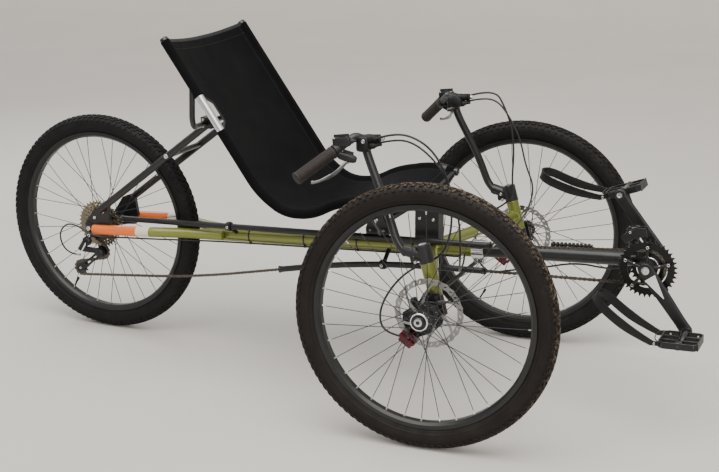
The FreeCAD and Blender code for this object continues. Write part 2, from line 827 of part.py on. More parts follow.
def make_crankset():
    pieces = [rod(crank_centre + AXIS_Y * crank_arm_far, crank_centre - AXIS_Y * crank_arm_far, spindle_radius)]
    for side in SIDES.values():
        end = crank_end(side)
        inner = AXIS_Y * (side * crank_arm_near)
        depth = AXIS_Y * (side * (crank_arm_far - crank_arm_near))
        pieces.append(rod(crank_centre + inner, crank_centre + inner + depth, 19))
        pieces.append(rod(end + inner, end + inner + depth, 14))
        across = (end - crank_centre).normalize().cross(AXIS_Y)
        corners = [crank_centre + across * 16, end + across * 12, end - across * 12, crank_centre - across * 16]
        corners = [corner + inner for corner in corners]
        pieces.append(Part.Face(Part.makePolygon(corners + corners[:1])).extrude(depth))
    for y, teeth, inner_radius in ((big_ring_y, big_ring_teeth, 50), (chain_y, small_ring_teeth, 30)):
        ring = lathe([(y - 1.2, inner_radius), (y - 1.2, root_radius(teeth)), (y + 1.2, root_radius(teeth)),
                      (y + 1.2, inner_radius)], crank_centre)
        pieces.append(ring)
    arm_y = big_ring_y - 5
    for index in range(5):
        lean = math.radians(72 * index + 18)
        outward = Vector(math.cos(lean), 0, math.sin(lean))
        pieces.append(rod(at_chain(crank_centre, arm_y), at_chain(crank_centre + outward * 62, arm_y), 6))
        for reach, inner_y in ((34, chain_y + 2.5), (57, big_ring_y + 2.5)):
            bolt = crank_centre + outward * reach
            pieces.append(rod(at_chain(bolt, arm_y - 7.5), at_chain(bolt, inner_y), 4.5))
    pieces.append(rod(at_chain(crank_centre, chain_y - 2), at_chain(crank_centre, -crank_arm_near), 26))
    return fused(pieces)


pedal_pitch = {"right": -2.0, "left": -20.0}
pedal_axle_radius = 5.0
pedal_height = 22.0


def make_pedal(name):
    """A barrel on its axle inside a cage, hinged to the crank's end."""
    side = SIDES[name]
    centre = crank_end(side) + AXIS_Y * (side * pedal_offset)
    half_length, half_width = pedal_length / 2, pedal_width / 2
    corner = Vector(half_length, half_width, pedal_height / 2)
    inside = corner - Vector(6, 6, 0)
    outer = box_between(centre - corner, centre + corner)
    inner = box_between(centre - inside, centre + inside)
    barrel = rod(centre - AXIS_Y * half_width, centre + AXIS_Y * half_width, 13)
    axle = rod(crank_end(side) + AXIS_Y * (side * (crank_arm_far + shoulder_gap)), centre, pedal_axle_radius)
    return fused([outer.cut(inner), barrel, axle]).rotated(centre, AXIS_Y, pedal_pitch[name])


loop_length = 185.0
loop_half_width = 43.0
loop_band = 5.0
loop_height = 30.0
loop_rise = 34.0
loop_tab = 18.0


def make_heel_loop(name):
    """A band that rises behind the pedal's cage, round the heel, on two tabs from the cage."""
    side = SIDES[name]
    centre = crank_end(side) + AXIS_Y * (side * pedal_offset)
    rear = centre - Vector(pedal_length / 2, 0, 0)
    hinge = rear - Vector(loop_tab - 4, 0, 0)

    def stadium(half):
        reach = loop_length - half
        body = Part.makeBox(reach, 2 * half, loop_height, hinge + Vector(-reach, -half, -loop_height / 2))
        nose = Part.makeCylinder(half, loop_height, hinge + Vector(-reach, 0, -loop_height / 2))
        return body.fuse(nose)

    band = stadium(loop_half_width).cut(stadium(loop_half_width - loop_band))
    band = band.rotated(hinge, AXIS_Y, loop_rise)
    tabs = []
    for y in (loop_band - loop_half_width, loop_half_width - loop_band):
        low = rear + Vector(-loop_tab, y - loop_band / 2, -6)
        tabs.append(box_between(low, low + Vector(loop_tab, loop_band, 12)))
    return fused([band] + tabs).rotated(centre, AXIS_Y, pedal_pitch[name])


# --- cables and hoses ---

# the brake hose, in straight-ahead places of the left side: over the cross arm, then back
# and down to the caliper behind the disc
hose_points = [(1066, 330, 752), (1104, 330, 766), (1156, 328, 768), (1212, 325, 738), (1250, 320, 676),
               (1264, 314, 600), (1262, 306, 528), (1243, 300, 470), (1204, 302, 441), (1160, 316, 423),
               (1122, 338, 384), (1096, 356, 332), (1098, 370, 288), (1126, 376, 266), (1170, 376, 262)]

# the gear cable from the control: its upper points turn with the bars, its lower ones are
# fixed, and it runs under the cross arm to the main tube
cable_upper = [(1066, 318, 738), (1104, 318, 750), (1158, 316, 751), (1218, 314, 708), (1262, 312, 640),
               (1282, 312, 566)]
cable_lower = [(1286, 306, 506), (1278, 284, 448), (1258, 236, 404), (1234, 164, 382), (1214, 92, 371),
               (1200, 36, 374), (1186, 0, 388)]

# the rear gear cable: under the main tube's right side, under the chainstay and round
# behind the dropout to the gear change
rear_cable_tail = [(330, -56, 331), (215, -91, 331), (112, -95, 325), (62, -101, 320), (22, -114, 330),
                   (-24, -109, 350), (-72, -100, 350), (-105, -95, 316), (-100, -92, 272), (-66, -90, 248),
                   (-34, -92, 252)]

# the front gear cable: out of the main tube beside the clamp, in a low loop, then under the boom
front_cable_points = [(1198, 12, 388), (1216, 14, 366), (1238, 14, 340), (1262, 8, 331), (1302, 3, 343),
                      (1346, 2, 353), (1424, 2, 370), (1474, 2, 385), (1524, 2, 390), (1562, 5, 385),
                      (1600, 14, 383), (1632, 25, 402), (1646, 24, 440), (1648, 10, 470), (1647, -8, 486)]

# how far forward each side's arcs reach, as a share of the points above
cable_spread = {1: (0.76, 0.86), -1: (1.0, 1.0)}
control_x = 1066.0


def spread(points, share):
    """Draw in the part of a cable that stands above the cross arm."""
    drawn = []
    for x, y, z in points:
        near = share if z > 500 else (share + 1) / 2
        drawn.append((control_x + (x - control_x) * near if x > 1200 else x, y, z))
    return drawn


def make_brake_hose(side):
    points = spread(hose_points, cable_spread[side][0])
    hose = bent_tube([Vector(*point) for point in points], hose_radius)
    return hose.cut(make_shifter()).cut(make_brake_caliper())


def make_shift_cable(side):
    points = [turned(Vector(x, side * y, z), side, rest_steer)
              for x, y, z in spread(cable_upper, cable_spread[side][1])]
    points += [Vector(x, side * y, z) for x, y, z in cable_lower]
    cable = bent_tube(points, cable_radius)
    return cable.cut(to_corner(make_shifter(), side)).cut(main_tube_envelope())


def cable_beside(radius=cable_radius):
    """The rear gear cable's straight stretch, low on the main tube's right side."""
    reach = main_tube_radius + cable_radius + 0.1
    beside = Vector(0, -reach * 0.5, -reach * math.sqrt(0.75))
    return rod(spine_point(1176) + beside, spine_point(452) + beside, radius)


def make_rear_gear_cable():
    reach = main_tube_radius + cable_radius + 0.1
    beside = Vector(0, -reach * 0.5, -reach * math.sqrt(0.75))
    points = [spine_point(1176) + beside, spine_point(452) + beside] + [Vector(*point) for point in rear_cable_tail]
    return bent_tube(points, cable_radius).cut(make_rear_derailleur())


def make_front_gear_cable():
    cable = bent_tube([Vector(*point) for point in front_cable_points], cable_radius)
    return cable.cut(main_tube_envelope()).cut(make_boom()).cut(make_front_derailleur())


def make_boom_rail():
    """A ribbed rubber strip along the top of the boom."""
    rise = main_tube_radius - main_tube_wall - boom_gap + boom_rail_radius - 0.5
    return rod(spine_point(1430, rise), spine_point(1541, rise), boom_rail_radius).cut(make_boom())


# --- the whole vehicle ---

parts = {
    "main_tube": make_main_tube(),
    "chainstays": make_chainstays(),
    "dropouts": make_dropouts(),
    "seat_stays": make_seat_stays(),
    "boom": make_boom(),
    "boom_clamp": make_boom_clamp(),
    "seat_hoop": make_seat_hoop(),
    "seat_bracket": make_seat_bracket(),
    "seat_sling": make_seat_sling(),
    "front_derailleur": make_front_derailleur(),
    "rear_derailleur": make_rear_derailleur(),
    "chain_tubes": make_chain_tubes(),
    "chain_tube_brackets": make_chain_tube_brackets(),
    "chain": make_chain(),
    "tie_rod": make_tie_rod(),
    "crankset": make_crankset(),
    "rear_gear_cable": make_rear_gear_cable(),
    "front_gear_cable": make_front_gear_cable(),
    "boom_rail": make_boom_rail(),
}

rear_centre = Vector(0, 0, wheel_radius)
for node, shape in (("tyre", make_tyre()), ("rim", make_rim()), ("spokes", make_spokes(rear_flanges)),
                    ("hub", make_rear_hub()), ("cassette", make_cassette())):
    parts["rear_" + node] = shape.translated(rear_centre)

for name, side in SIDES.items():
    for node, shape in (("tyre", make_tyre()), ("rim", make_rim()), ("spokes", make_spokes(front_flanges)),
                        ("hub", make_front_hub()), ("disc", make_disc())):
        parts["front_%s_%s" % (node, name)] = to_corner(to_axle(shape, side), side)
    parts["knuckle_" + name] = to_corner(make_knuckle(side), side)
    parts["brake_caliper_" + name] = to_corner(make_brake_caliper(), side)
    for node, shape in (("handlebar", make_handlebar()), ("grip", make_grip()), ("shifter", make_shifter()),
                        ("brake_lever", make_brake_lever()), ("brake_hose", make_brake_hose(side))):
        parts["%s_%s" % (node, name)] = to_corner(shape, side)
    parts["shift_cable_" + name] = make_shift_cable(side)
    parts["cross_arm_" + name] = make_cross_arm() if side > 0 else mirrored(make_cross_arm())
    parts["seat_rail_" + name] = rail_tube(side)
    parts["pedal_" + name] = make_pedal(name)
    parts["heel_loop_" + name] = make_heel_loop(name)

front_reach = max(shape.optimalBoundingBox(False, False).XMax for shape in parts.values())
rear_reach = min(shape.optimalBoundingBox(False, False).XMin for shape in parts.values())
frame_middle = Vector((front_reach + rear_reach) / 2, 0, 0)

os.makedirs("parts", exist_ok=True)
for node, shape in parts.items():
    shape.translated(-frame_middle).exportStep("parts/%s.step" % node)
    box = shape.BoundBox
    x_low, x_high = box.XMin - frame_middle.x, box.XMax - frame_middle.x
    print("%-22s solids %2d valid %s volume %9.0f" % (node, len(shape.Solids), shape.isValid(), shape.Volume),
          " x %7.1f %7.1f  y %7.1f %7.1f  z %6.1f %6.1f" % (x_low, x_high, box.YMin, box.YMax, box.ZMin, box.ZMax))

# Places of the joints, in metres from the origin
for name, side in SIDES.items():
    pivot = Vector(kingpin_x, side * kingpin_y, kingpin_z) - frame_middle
    print("joint steer", name, [round(v / 1000, 6) for v in pivot], [round(v, 7) for v in head_tube_axis])
    hub = Vector(wheelbase, side * track / 2, axle_height(side))
    centre = turned(hub, side, rest_steer) - frame_middle
    lean = math.radians(camber) * side
    outward = turned(hub + Vector(0, math.cos(lean), math.sin(lean)), side, rest_steer) - frame_middle - centre
    print("joint wheel", name, [round(v / 1000, 6) for v in centre], [round(v, 7) for v in outward])
    pedal = crank_end(side) - frame_middle
    print("joint pedal", name, [round(v / 1000, 6) for v in pedal])
print("joint rear wheel", [round(v / 1000, 6) for v in rear_centre - frame_middle])
print("joint crank", [round(v / 1000, 6) for v in crank_centre - frame_middle])
print("joint tie rod", [round(v / 1000, 6) for v in turned(tie_pivot, 1, rest_steer) - frame_middle])

# Threaded places, in metres, with their direction, thread radius and depth in millimetres
for name, x in zip(("rear", "front"), boss_places):
    mouth = boss_point(x, main_tube_radius + boss_height) - frame_middle
    down = (boss_point(x, 1) - boss_point(x, 0)).normalize()
    print("mount bottle_boss_" + name, [round(v / 1000, 6) for v in mouth], [round(v, 7) for v in down],
          [thread_radius, boss_depth])
for name, side in SIDES.items():
    mouth = Vector(eyelet[0], side * dropout_outer, eyelet[1]) - frame_middle
    print("mount rack_eyelet_" + name, [round(v / 1000, 6) for v in mouth], [0, side, 0],
          [thread_radius, dropout_thickness])
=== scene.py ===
import bpy
import json
import math
import numpy as np
from mathutils import Matrix, Vector, noise


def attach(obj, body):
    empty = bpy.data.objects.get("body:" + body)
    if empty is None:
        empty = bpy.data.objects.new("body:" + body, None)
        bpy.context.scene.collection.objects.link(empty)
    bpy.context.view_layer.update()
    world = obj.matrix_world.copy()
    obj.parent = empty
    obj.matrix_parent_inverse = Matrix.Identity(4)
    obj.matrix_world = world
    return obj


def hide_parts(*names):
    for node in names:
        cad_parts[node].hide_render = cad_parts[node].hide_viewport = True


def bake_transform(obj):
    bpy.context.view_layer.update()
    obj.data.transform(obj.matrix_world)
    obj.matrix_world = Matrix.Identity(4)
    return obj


# Recumbent trike: two steered wheels in front, one driven wheel behind.
# Lengths are in millimetres from the rear axle's middle plane and the floor, and
# place() turns them into the frame's metres.

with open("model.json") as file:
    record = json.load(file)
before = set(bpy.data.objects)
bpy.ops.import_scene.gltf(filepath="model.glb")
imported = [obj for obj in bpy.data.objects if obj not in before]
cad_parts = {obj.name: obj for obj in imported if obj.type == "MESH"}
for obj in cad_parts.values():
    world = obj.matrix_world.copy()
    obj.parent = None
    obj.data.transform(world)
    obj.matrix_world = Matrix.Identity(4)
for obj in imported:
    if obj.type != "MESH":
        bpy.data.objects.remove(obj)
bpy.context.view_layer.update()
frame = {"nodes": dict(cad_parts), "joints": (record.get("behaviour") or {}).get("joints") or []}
nodes = frame["nodes"]
joints = {joint["name"]: joint for joint in frame["joints"]}
rearAxle = Vector(joints["rear_wheel_spin"]["pos_m"])
sides = {"left": 1, "right": -1}
mm = 0.001
left = Vector((0, 1, 0))
circleTurn = 2 * math.pi

stance = {
    "axleZ": 338, "kingpin": (1222, 337, 410), "caster": 16,
    "restSteer": 4.6,       # degrees to the left
    "spineStart": (390, 346), "spineEnd": (1700, 424), "spineRadius": 21.5,
}


def place(x, y, z):
    return Vector((x * mm + rearAxle.x, y * mm, z * mm))


def spineAt(x):
    (x0, z0), (x1, z1) = stance["spineStart"], stance["spineEnd"]
    return place(x, 0, z0 + (z1 - z0) * (x - x0) / (x1 - x0))


def polar(r, a):
    return r * math.cos(a), r * math.sin(a)


def arc(centre, radius, start, end, steps):
    # points on a circle, both ends included
    return [(centre[0] + radius * math.cos(start + (end - start) * k / steps),
             centre[1] + radius * math.sin(start + (end - start) * k / steps)) for k in range(steps + 1)]


def circle(radius, corners=24, centre=(0, 0)):
    return arc(centre, radius, 0, circleTurn, corners)[:-1]


# Mesh making. A shape is (points, faces), in metres unless a note says otherwise.

def joined(shapes):
    points, faces, start = [], [], 0
    for pts, fcs in shapes:
        pts = np.asarray(pts, float).reshape(-1, 3)
        points.append(pts)
        faces += [tuple(i + start for i in f) for f in fcs]
        start += len(pts)
    return np.concatenate(points), faces


def moved(shape, matrix):
    pts, fcs = shape
    m = np.array(matrix, float)
    out = np.asarray(pts, float) @ m[:3, :3].T + m[:3, 3]
    if np.linalg.det(m[:3, :3]) < 0:
        fcs = [f[::-1] for f in fcs]
    return out, fcs


def axes(x, y, z, origin=(0, 0, 0)):
    m = Matrix.Identity(4)
    for i, v in enumerate((x, y, z, origin)):
        for j in range(3):
            m[j][i] = v[j]
    return m


def facing(direction, origin=(0, 0, 0), up=(0, 0, 1)):
    # a frame whose Z runs along direction
    z = Vector(direction).normalized()
    x = Vector(up).cross(z)
    x = Vector((1, 0, 0)).cross(z) if x.length < 1e-4 else x
    x.normalize()
    return axes(x, z.cross(x), z, origin)


def upright(centre, y):
    # a flat shape's XY plane becomes the XZ plane at y, about an (x, z) centre, all in mm
    return axes((1, 0, 0), (0, 0, 1), (0, -1, 0), place(centre[0], y, centre[1]))


def revolve(profile, segments=48, closed=False):
    # profile is (radius, height) pairs about Z
    pts, fcs, n = [], [], len(profile)
    for k in range(segments):
        a = circleTurn * k / segments
        pts += [(*polar(r, a), h) for r, h in profile]
    for k in range(segments):
        here, there = k * n, (k + 1) % segments * n
        for i in range(n if closed else n - 1):
            j = (i + 1) % n
            fcs.append((here + i, there + i, there + j, here + j))
    if not closed:
        for end, flip in ((0, True), (n - 1, False)):
            if profile[end][0] > 1e-7:
                rim = tuple(k * n + end for k in range(segments))
                fcs.append(rim[::-1] if flip else rim)
    return np.array(pts), fcs


def turnedPart(profile, start, end, segments=32, closed=False):
    # profile radii and heights in mm, from start towards end, both in metres
    shape = revolve([(r * mm, h * mm) for r, h in profile], segments, closed)
    return moved(shape, facing(Vector(end) - Vector(start), start))


def sleeve(bore, profile, start, end, segments=32):
    # a turned part with a hole through it: profile is its outside only
    whole = [(bore, profile[0][1]), *profile, (bore, profile[-1][1])]
    return turnedPart(whole, start, end, segments, closed=True)


def pin(start, end, radius, chamfer=0.6, segments=24):
    length = (Vector(end) - Vector(start)).length / mm
    c = min(chamfer, radius * 0.4, length * 0.3)
    profile = [(0, 0), (radius - c, 0), (radius, c), (radius, length - c), (radius - c, length), (0, length)]
    return turnedPart(profile, start, end, segments)


def screw(at, direction, head=5, height=4):
    # a socket-headed screw that stands on a surface
    d = Vector(direction).normalized()
    h, s = height, head * 0.5
    profile = [(0, -1), (head * 0.9, -1), (head, -0.4), (head, h - 0.6), (head - 0.6, h), (s + 0.4, h),
               (s, h - 0.4), (s, h - 2.2), (0, h - 2.4)]
    return turnedPart(profile, Vector(at), Vector(at) + d, 18)


def sweep(path, sections, closedEnds=True, up=(0, 1, 0)):
    # sections: one list of (across, upwards) offsets in metres for each path point
    path = [Vector(p) for p in path]
    pts, fcs, n = [], [], len(sections[0])
    side = None
    for i, p in enumerate(path):
        ahead = path[min(i + 1, len(path) - 1)] - path[max(i - 1, 0)]
        ahead.normalize()
        if side is None:
            side = Vector(up).cross(ahead).normalized()
        side = (side - ahead * side.dot(ahead)).normalized()
        top = ahead.cross(side)
        pts += [p + side * a + top * b for a, b in sections[i]]
    for i in range(len(path) - 1):
        for j in range(n):
            k = (j + 1) % n
            fcs.append((i * n + j, i * n + k, (i + 1) * n + k, (i + 1) * n + j))
    if closedEnds:
        fcs.append(tuple(range(n))[::-1])
        fcs.append(tuple((len(path) - 1) * n + j for j in range(n)))
    return np.array([tuple(p) for p in pts]), fcs


def ring(width, height, corners=16, power=2.0):
    # an oval section; a higher power squares it off
    out = []
    for c, s in circle(1, corners):
        out.append((width * math.copysign(abs(c) ** (2 / power), c),
                    height * math.copysign(abs(s) ** (2 / power), s)))
    return out


def newCurve(name, points, steps=12):
    # a NURBS curve that has these control points
    curve = bpy.data.curves.new(name, "CURVE")
    curve.dimensions = "3D"
    spline = curve.splines.new("NURBS")
    spline.points.add(len(points) - 1)
    for point, p in zip(spline.points, points):
        point.co = (*p, 1)
    spline.order_u = 3
    spline.use_endpoint_u = True
    spline.resolution_u = steps
    return curve


def meshOf(data):
    # the points and faces that a curve or mesh comes out with
    holder = bpy.data.objects.new("draft", data)
    mesh = bpy.data.meshes.new_from_object(holder)
    bpy.data.objects.remove(holder)
    return [v.co.copy() for v in mesh.vertices], [tuple(f.vertices) for f in mesh.polygons]


def smoothLine(points, steps=12):
    return meshOf(newCurve("route", points, steps))[0]


def roundedLine(points, share=0.45, steps=8):
    # straight runs joined by arcs that use up a share of the shorter run
    points = [Vector(p) for p in points]
    line = [points[0]]
    for before, bend, after in zip(points, points[1:], points[2:]):
        back, out = before - bend, after - bend
        cut = share * min(back.length, out.length)
        a, b = bend + back.normalized() * cut, bend + out.normalized() * cut
        turn = math.pi - back.angle(out)
        if turn < 1e-4:
            continue
        radius = cut / math.tan(turn / 2)
        inward = (back.normalized() + out.normalized()).normalized()
        centre = bend + inward * (radius / math.cos(turn / 2))
        for k in range(steps + 1):
            near, far = math.sin((1 - k / steps) * turn), math.sin(k / steps * turn)
            line.append(centre + ((a - centre) * near + (b - centre) * far) / math.sin(turn))
    line.append(points[-1])
    return line


def tubeShape(line, radius, corners=14):
    section = ring(radius, radius, corners)
    return sweep(line, [section] * len(line), up=(0.31, 0.9, 0.11))


def flatShape(outline, holes=(), thickness=0.002, edge=0.0003):
    # a filled outline with holes, in the XY plane and centred on Z = 0, with softened edges
    curve = bpy.data.curves.new("outline", "CURVE")
    curve.dimensions = "2D"
    curve.fill_mode = "BOTH"
    curve.extrude = max(thickness / 2 - edge, 1e-5)
    curve.bevel_depth = edge
    curve.offset = -edge
    curve.bevel_resolution = 0
    for loop in [outline, *holes]:
        spline = curve.splines.new("POLY")
        spline.points.add(len(loop) - 1)
        for point, (x, y) in zip(spline.points, loop):
            point.co = (x, y, 0, 1)
        spline.use_cyclic_u = True
    return meshOf(curve)


def roundBox(size, bevel=0.002, segments=2):
    # a box with rounded edges, centred on the origin
    mesh = bpy.data.meshes.new("block")
    x, y, z = (s / 2 for s in size)
    corners = [(i, j, k) for i in (-x, x) for j in (-y, y) for k in (-z, z)]
    mesh.from_pydata(corners, [], [(0, 1, 3, 2), (4, 6, 7, 5), (0, 4, 5, 1), (2, 3, 7, 6), (0, 2, 6, 4),
                                   (1, 5, 7, 3)])
    holder = bpy.data.objects.new("block", mesh)
    bpy.context.scene.collection.objects.link(holder)
    soften = holder.modifiers.new("soften", "BEVEL")
    soften.width, soften.segments = bevel, segments
    made = bpy.data.meshes.new_from_object(holder.evaluated_get(bpy.context.evaluated_depsgraph_get()))
    bpy.data.objects.remove(holder)
    return [v.co[:] for v in made.vertices], [tuple(f.vertices) for f in made.polygons]


def boxAlong(start, end, width, height, bevel=0.002, up=(0, 1, 0)):
    start, end = Vector(start), Vector(end)
    return moved(roundBox((width, height, (end - start).length), bevel),
                 facing(end - start, (start + end) / 2, up))


def addPiece(name, shapes, material, body, replaces=(), smooth=38, matrix=None):
    # smooth is the angle in degrees past which an edge stays sharp
    points, faces = joined(shapes)
    mesh = bpy.data.meshes.new(name)
    mesh.from_pydata([tuple(p) for p in points], [], faces)
    mesh.validate()
    mesh.polygons.foreach_set("use_smooth", [True] * len(mesh.polygons))
    mesh.set_sharp_from_angle(angle=math.radians(smooth))
    mesh.materials.append(material)
    mesh.update()
    piece = bpy.data.objects.new(name, mesh)
    bpy.context.scene.collection.objects.link(piece)
    if matrix is not None:
        piece.matrix_world = matrix
    if body:
        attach(piece, body)
    if replaces:
        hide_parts(*replaces)
    return piece


# Frames that pieces are built in.

def cornerFrame(side):
    # from the left side's straight-ahead place, in mm, to that side's place at rest
    joint = joints["steer_" + side]
    pivot = Vector(joint["pos_m"])
    turn = Matrix.Rotation(math.radians(stance["restSteer"]), 4, Vector(joint["axis"]))
    toPivot = Matrix.Translation((rearAxle.x, 0, 0)) @ Matrix.Diagonal((mm, mm * sides[side], mm, 1))
    return Matrix.Translation(pivot) @ turn @ Matrix.Translation(-pivot) @ toPivot


def wheelFrame(joint, side=1):
    # Z along the axle, towards the outside; X forward
    centre, axle = Vector(joint["pos_m"]), Vector(joint["axis"]).normalized() * side
    forward = (Vector((1, 0, 0)) - axle * axle.x).normalized()
    return axes(forward, axle.cross(forward), axle, centre)


corner = {side: cornerFrame(side) for side in sides}


# Materials: first the shared node groups, then the finishes.

class Tree:
    # short ways to add and join shader nodes
    def __init__(self, tree):
        self.tree = tree

    def add(self, kind, **settings):
        node = self.tree.nodes.new(kind if kind.startswith("NodeGroup") else "ShaderNode" + kind)
        for key, value in settings.items():
            if hasattr(node, key):
                setattr(node, key, value)
            else:
                node.inputs[key.replace("_", " ")].default_value = value
        return node

    def link(self, source, target):
        self.tree.links.new(source, target)

    def objectPlace(self):
        return self.add("TexCoord").outputs["Object"]

    def noise(self, **settings):
        node = self.add("TexNoise", **settings)
        self.link(self.objectPlace(), node.inputs["Vector"])
        return node

    def ramp(self, fac, low, high, lowColour=(0, 0, 0, 1), highColour=(1, 1, 1, 1)):
        node = self.add("ValToRGB")
        ends = node.color_ramp.elements
        ends[0].position, ends[1].position = low, high
        ends[0].color, ends[1].color = lowColour, highColour
        self.link(fac, node.inputs[0])
        return node.outputs["Color"]

    def span(self, value, fromMin=0.0, fromMax=1.0, toMin=0.0, toMax=1.0):
        node = self.add("MapRange", From_Min=fromMin, From_Max=fromMax, To_Min=toMin, To_Max=toMax)
        self.link(value, node.inputs["Value"])
        return node.outputs["Result"]

    def axis(self, value, letter):
        node = self.add("SeparateXYZ")
        self.link(value, node.inputs[0])
        return node.outputs[letter]

    def times(self, a, b):
        node = self.add("Math", operation="MULTIPLY")
        self.link(a, node.inputs[0])
        self.link(b, node.inputs[1])
        return node.outputs[0]

    def fill(self, value, target):
        # a colour as a tuple sets the socket, and anything else is linked to it
        if isinstance(value, tuple):
            target.default_value = (*value, 1)
        else:
            self.link(value, target)

    def blendColour(self, fac, a, b):
        node = self.add("Mix", data_type="RGBA")
        self.fill(a, node.inputs[6])
        self.fill(b, node.inputs[7])
        self.link(fac, node.inputs[0])
        return node.outputs[2]

    def brighten(self, colour, amount):
        node = self.add("HueSaturation")
        self.link(amount, node.inputs["Value"])
        self.fill(colour, node.inputs["Color"])
        return node.outputs["Color"]


def newGroup(name, inputs, outputs):
    # a node group with float sockets; inputs are {name: value}
    group = bpy.data.node_groups.new(name, "ShaderNodeTree")
    for socketName, value in inputs.items():
        socket = group.interface.new_socket(socketName, in_out="INPUT", socket_type="NodeSocketFloat")
        socket.default_value = value
    for socketName in outputs:
        group.interface.new_socket(socketName, in_out="OUTPUT", socket_type="NodeSocketFloat")
    t = Tree(group)
    return group, t, t.add("NodeGroupInput").outputs, t.add("NodeGroupOutput").inputs


def makeDust():
    # more on what faces up and in broad patches
    group, t, given, made = newGroup("settledDust", {"Scale": 30.0}, ["Mask"])
    patches = t.noise(Detail=6.0, Roughness=0.62)
    t.link(given["Scale"], patches.inputs["Scale"])
    upward = t.span(t.axis(t.add("NewGeometry").outputs["Normal"], "Z"), fromMin=-0.4, toMin=0.15)
    t.link(t.times(upward, t.ramp(patches.outputs["Fac"], 0.38, 0.72)), made["Mask"])
    return group


def makeGrain():
    group, t, given, made = newGroup("fineGrain", {"Scale": 900.0}, ["Height", "Patches"])
    small = t.noise(Detail=3.0)
    t.link(given["Scale"], small.inputs["Scale"])
    t.link(small.outputs["Fac"], made["Height"])
    t.link(t.noise(Scale=14.0, Detail=4.0).outputs["Fac"], made["Patches"])
    return group


def makeWear():
    # convex edges, where a bevelled normal leaves the flat one
    group, t, given, made = newGroup("edgeWear", {}, ["Mask"])
    compare = t.add("VectorMath", operation="DOT_PRODUCT")
    t.link(t.add("Bevel", samples=4, Radius=0.0012).outputs["Normal"], compare.inputs[0])
    t.link(t.add("NewGeometry").outputs["Normal"], compare.inputs[1])
    edge = t.ramp(compare.outputs["Value"], 0.72, 0.97, (1, 1, 1, 1), (0, 0, 0, 1))
    chips = t.noise(Scale=160.0, Detail=3.0)
    t.link(t.times(edge, t.ramp(chips.outputs["Fac"], 0.44, 0.6)), made["Mask"])
    return group


def makeWeave():
    group, t, given, made = newGroup("fineWeave", {"Scale": 700.0}, ["Height"])
    bands = []
    for direction in ("X", "Y"):
        wave = t.add("TexWave", bands_direction=direction, Distortion=0.4)
        t.link(t.add("TexCoord").outputs["UV"], wave.inputs["Vector"])
        t.link(given["Scale"], wave.inputs["Scale"])
        bands.append(wave.outputs["Fac"])
    t.link(t.times(*bands), made["Height"])
    return group


groups = {"dust": makeDust(), "grain": makeGrain(), "wear": makeWear(), "weave": makeWeave()}


def placeGroup(t, key, scale=None):
    node = t.add("Group", node_tree=groups[key])
    if scale is not None:
        node.inputs["Scale"].default_value = scale
    return node.outputs


def material(name, colour, roughness=0.4, metallic=0.0, dust=0.0, dustScale=30.0,
             dustTint=(0.33, 0.29, 0.23), wear=None, grain=0.0, grainScale=900.0, vary=0.0, coat=0.0,
             coatRoughness=0.1, sheen=0.0, specular=0.5, weave=0.0, weaveScale=330.0, anisotropic=0.0,
             colourFrom=None):
    # dust, grain, vary and weave are strengths, and wear is the colour under a worn edge
    mat = bpy.data.materials.new(name)
    mat.use_nodes = True
    t = Tree(mat.node_tree)
    inputs = mat.node_tree.nodes["Principled BSDF"].inputs
    for socketName, value in (("Roughness", roughness), ("Metallic", metallic),
                              ("Specular IOR Level", specular),
                              ("Coat Weight", coat), ("Coat Roughness", coatRoughness),
                              ("Anisotropic", anisotropic), ("Sheen Weight", sheen)):
        inputs[socketName].default_value = value
    base = colourFrom(t) if colourFrom else colour
    grained = placeGroup(t, "grain", grainScale) if grain or vary else None
    if vary:
        base = t.brighten(base, t.span(grained["Patches"], toMin=1 - vary, toMax=1 + vary))
        t.link(t.span(grained["Patches"], toMin=roughness * (1 - vary), toMax=min(1, roughness * (1 + vary))),
               inputs["Roughness"])
    if wear:
        worn = placeGroup(t, "wear")["Mask"]
        base = t.blendColour(worn, base, wear)
        if metallic == 0:
            t.link(worn, inputs["Metallic"])
    if dust:
        amount = t.span(placeGroup(t, "dust", dustScale)["Mask"], toMax=dust)
        base = t.blendColour(amount, base, dustTint)
    t.fill(base, inputs["Base Color"])
    if weave or grain:
        bump = t.add("Bump", Strength=weave or grain, Distance=0.0004)
        height = placeGroup(t, "weave", weaveScale)["Height"] if weave else grained["Height"]
        t.link(height, bump.inputs["Height"])
        t.link(bump.outputs["Normal"], inputs["Normal"])
    return mat


frameColours = {
    "green": (0.185, 0.205, 0.022), "orange": (0.84, 0.15, 0.004), "cream": (0.74, 0.70, 0.55),
    "creamFrom": 0.176, "greenFrom": 0.219,     # m ahead of the rear axle
}


def flakes(t, base):
    # metal flakes in the lacquer
    spots = t.add("TexVoronoi", Scale=2600.0)
    t.link(t.objectPlace(), spots.inputs["Vector"])
    split = t.add("SeparateColor")
    t.link(spots.outputs["Color"], split.inputs[0])
    return t.brighten(base, t.span(split.outputs[0], toMin=0.86, toMax=1.16))


def stayColours(t):
    # bands along the frame: orange at the wheel, then cream, then green
    c = frameColours
    base = t.add("ValToRGB")
    base.color_ramp.interpolation = "CONSTANT"
    t.link(t.span(t.axis(t.objectPlace(), "X"), place(0, 0, 0).x, place(1000, 0, 0).x), base.inputs[0])
    stops = base.color_ramp.elements
    stops[0].position, stops[0].color = 0.0, (*c["orange"], 1)
    stops[1].position, stops[1].color = c["creamFrom"], (*c["cream"], 1)
    stops.new(c["greenFrom"]).color = (*c["green"], 1)
    return flakes(t, base.outputs["Color"])


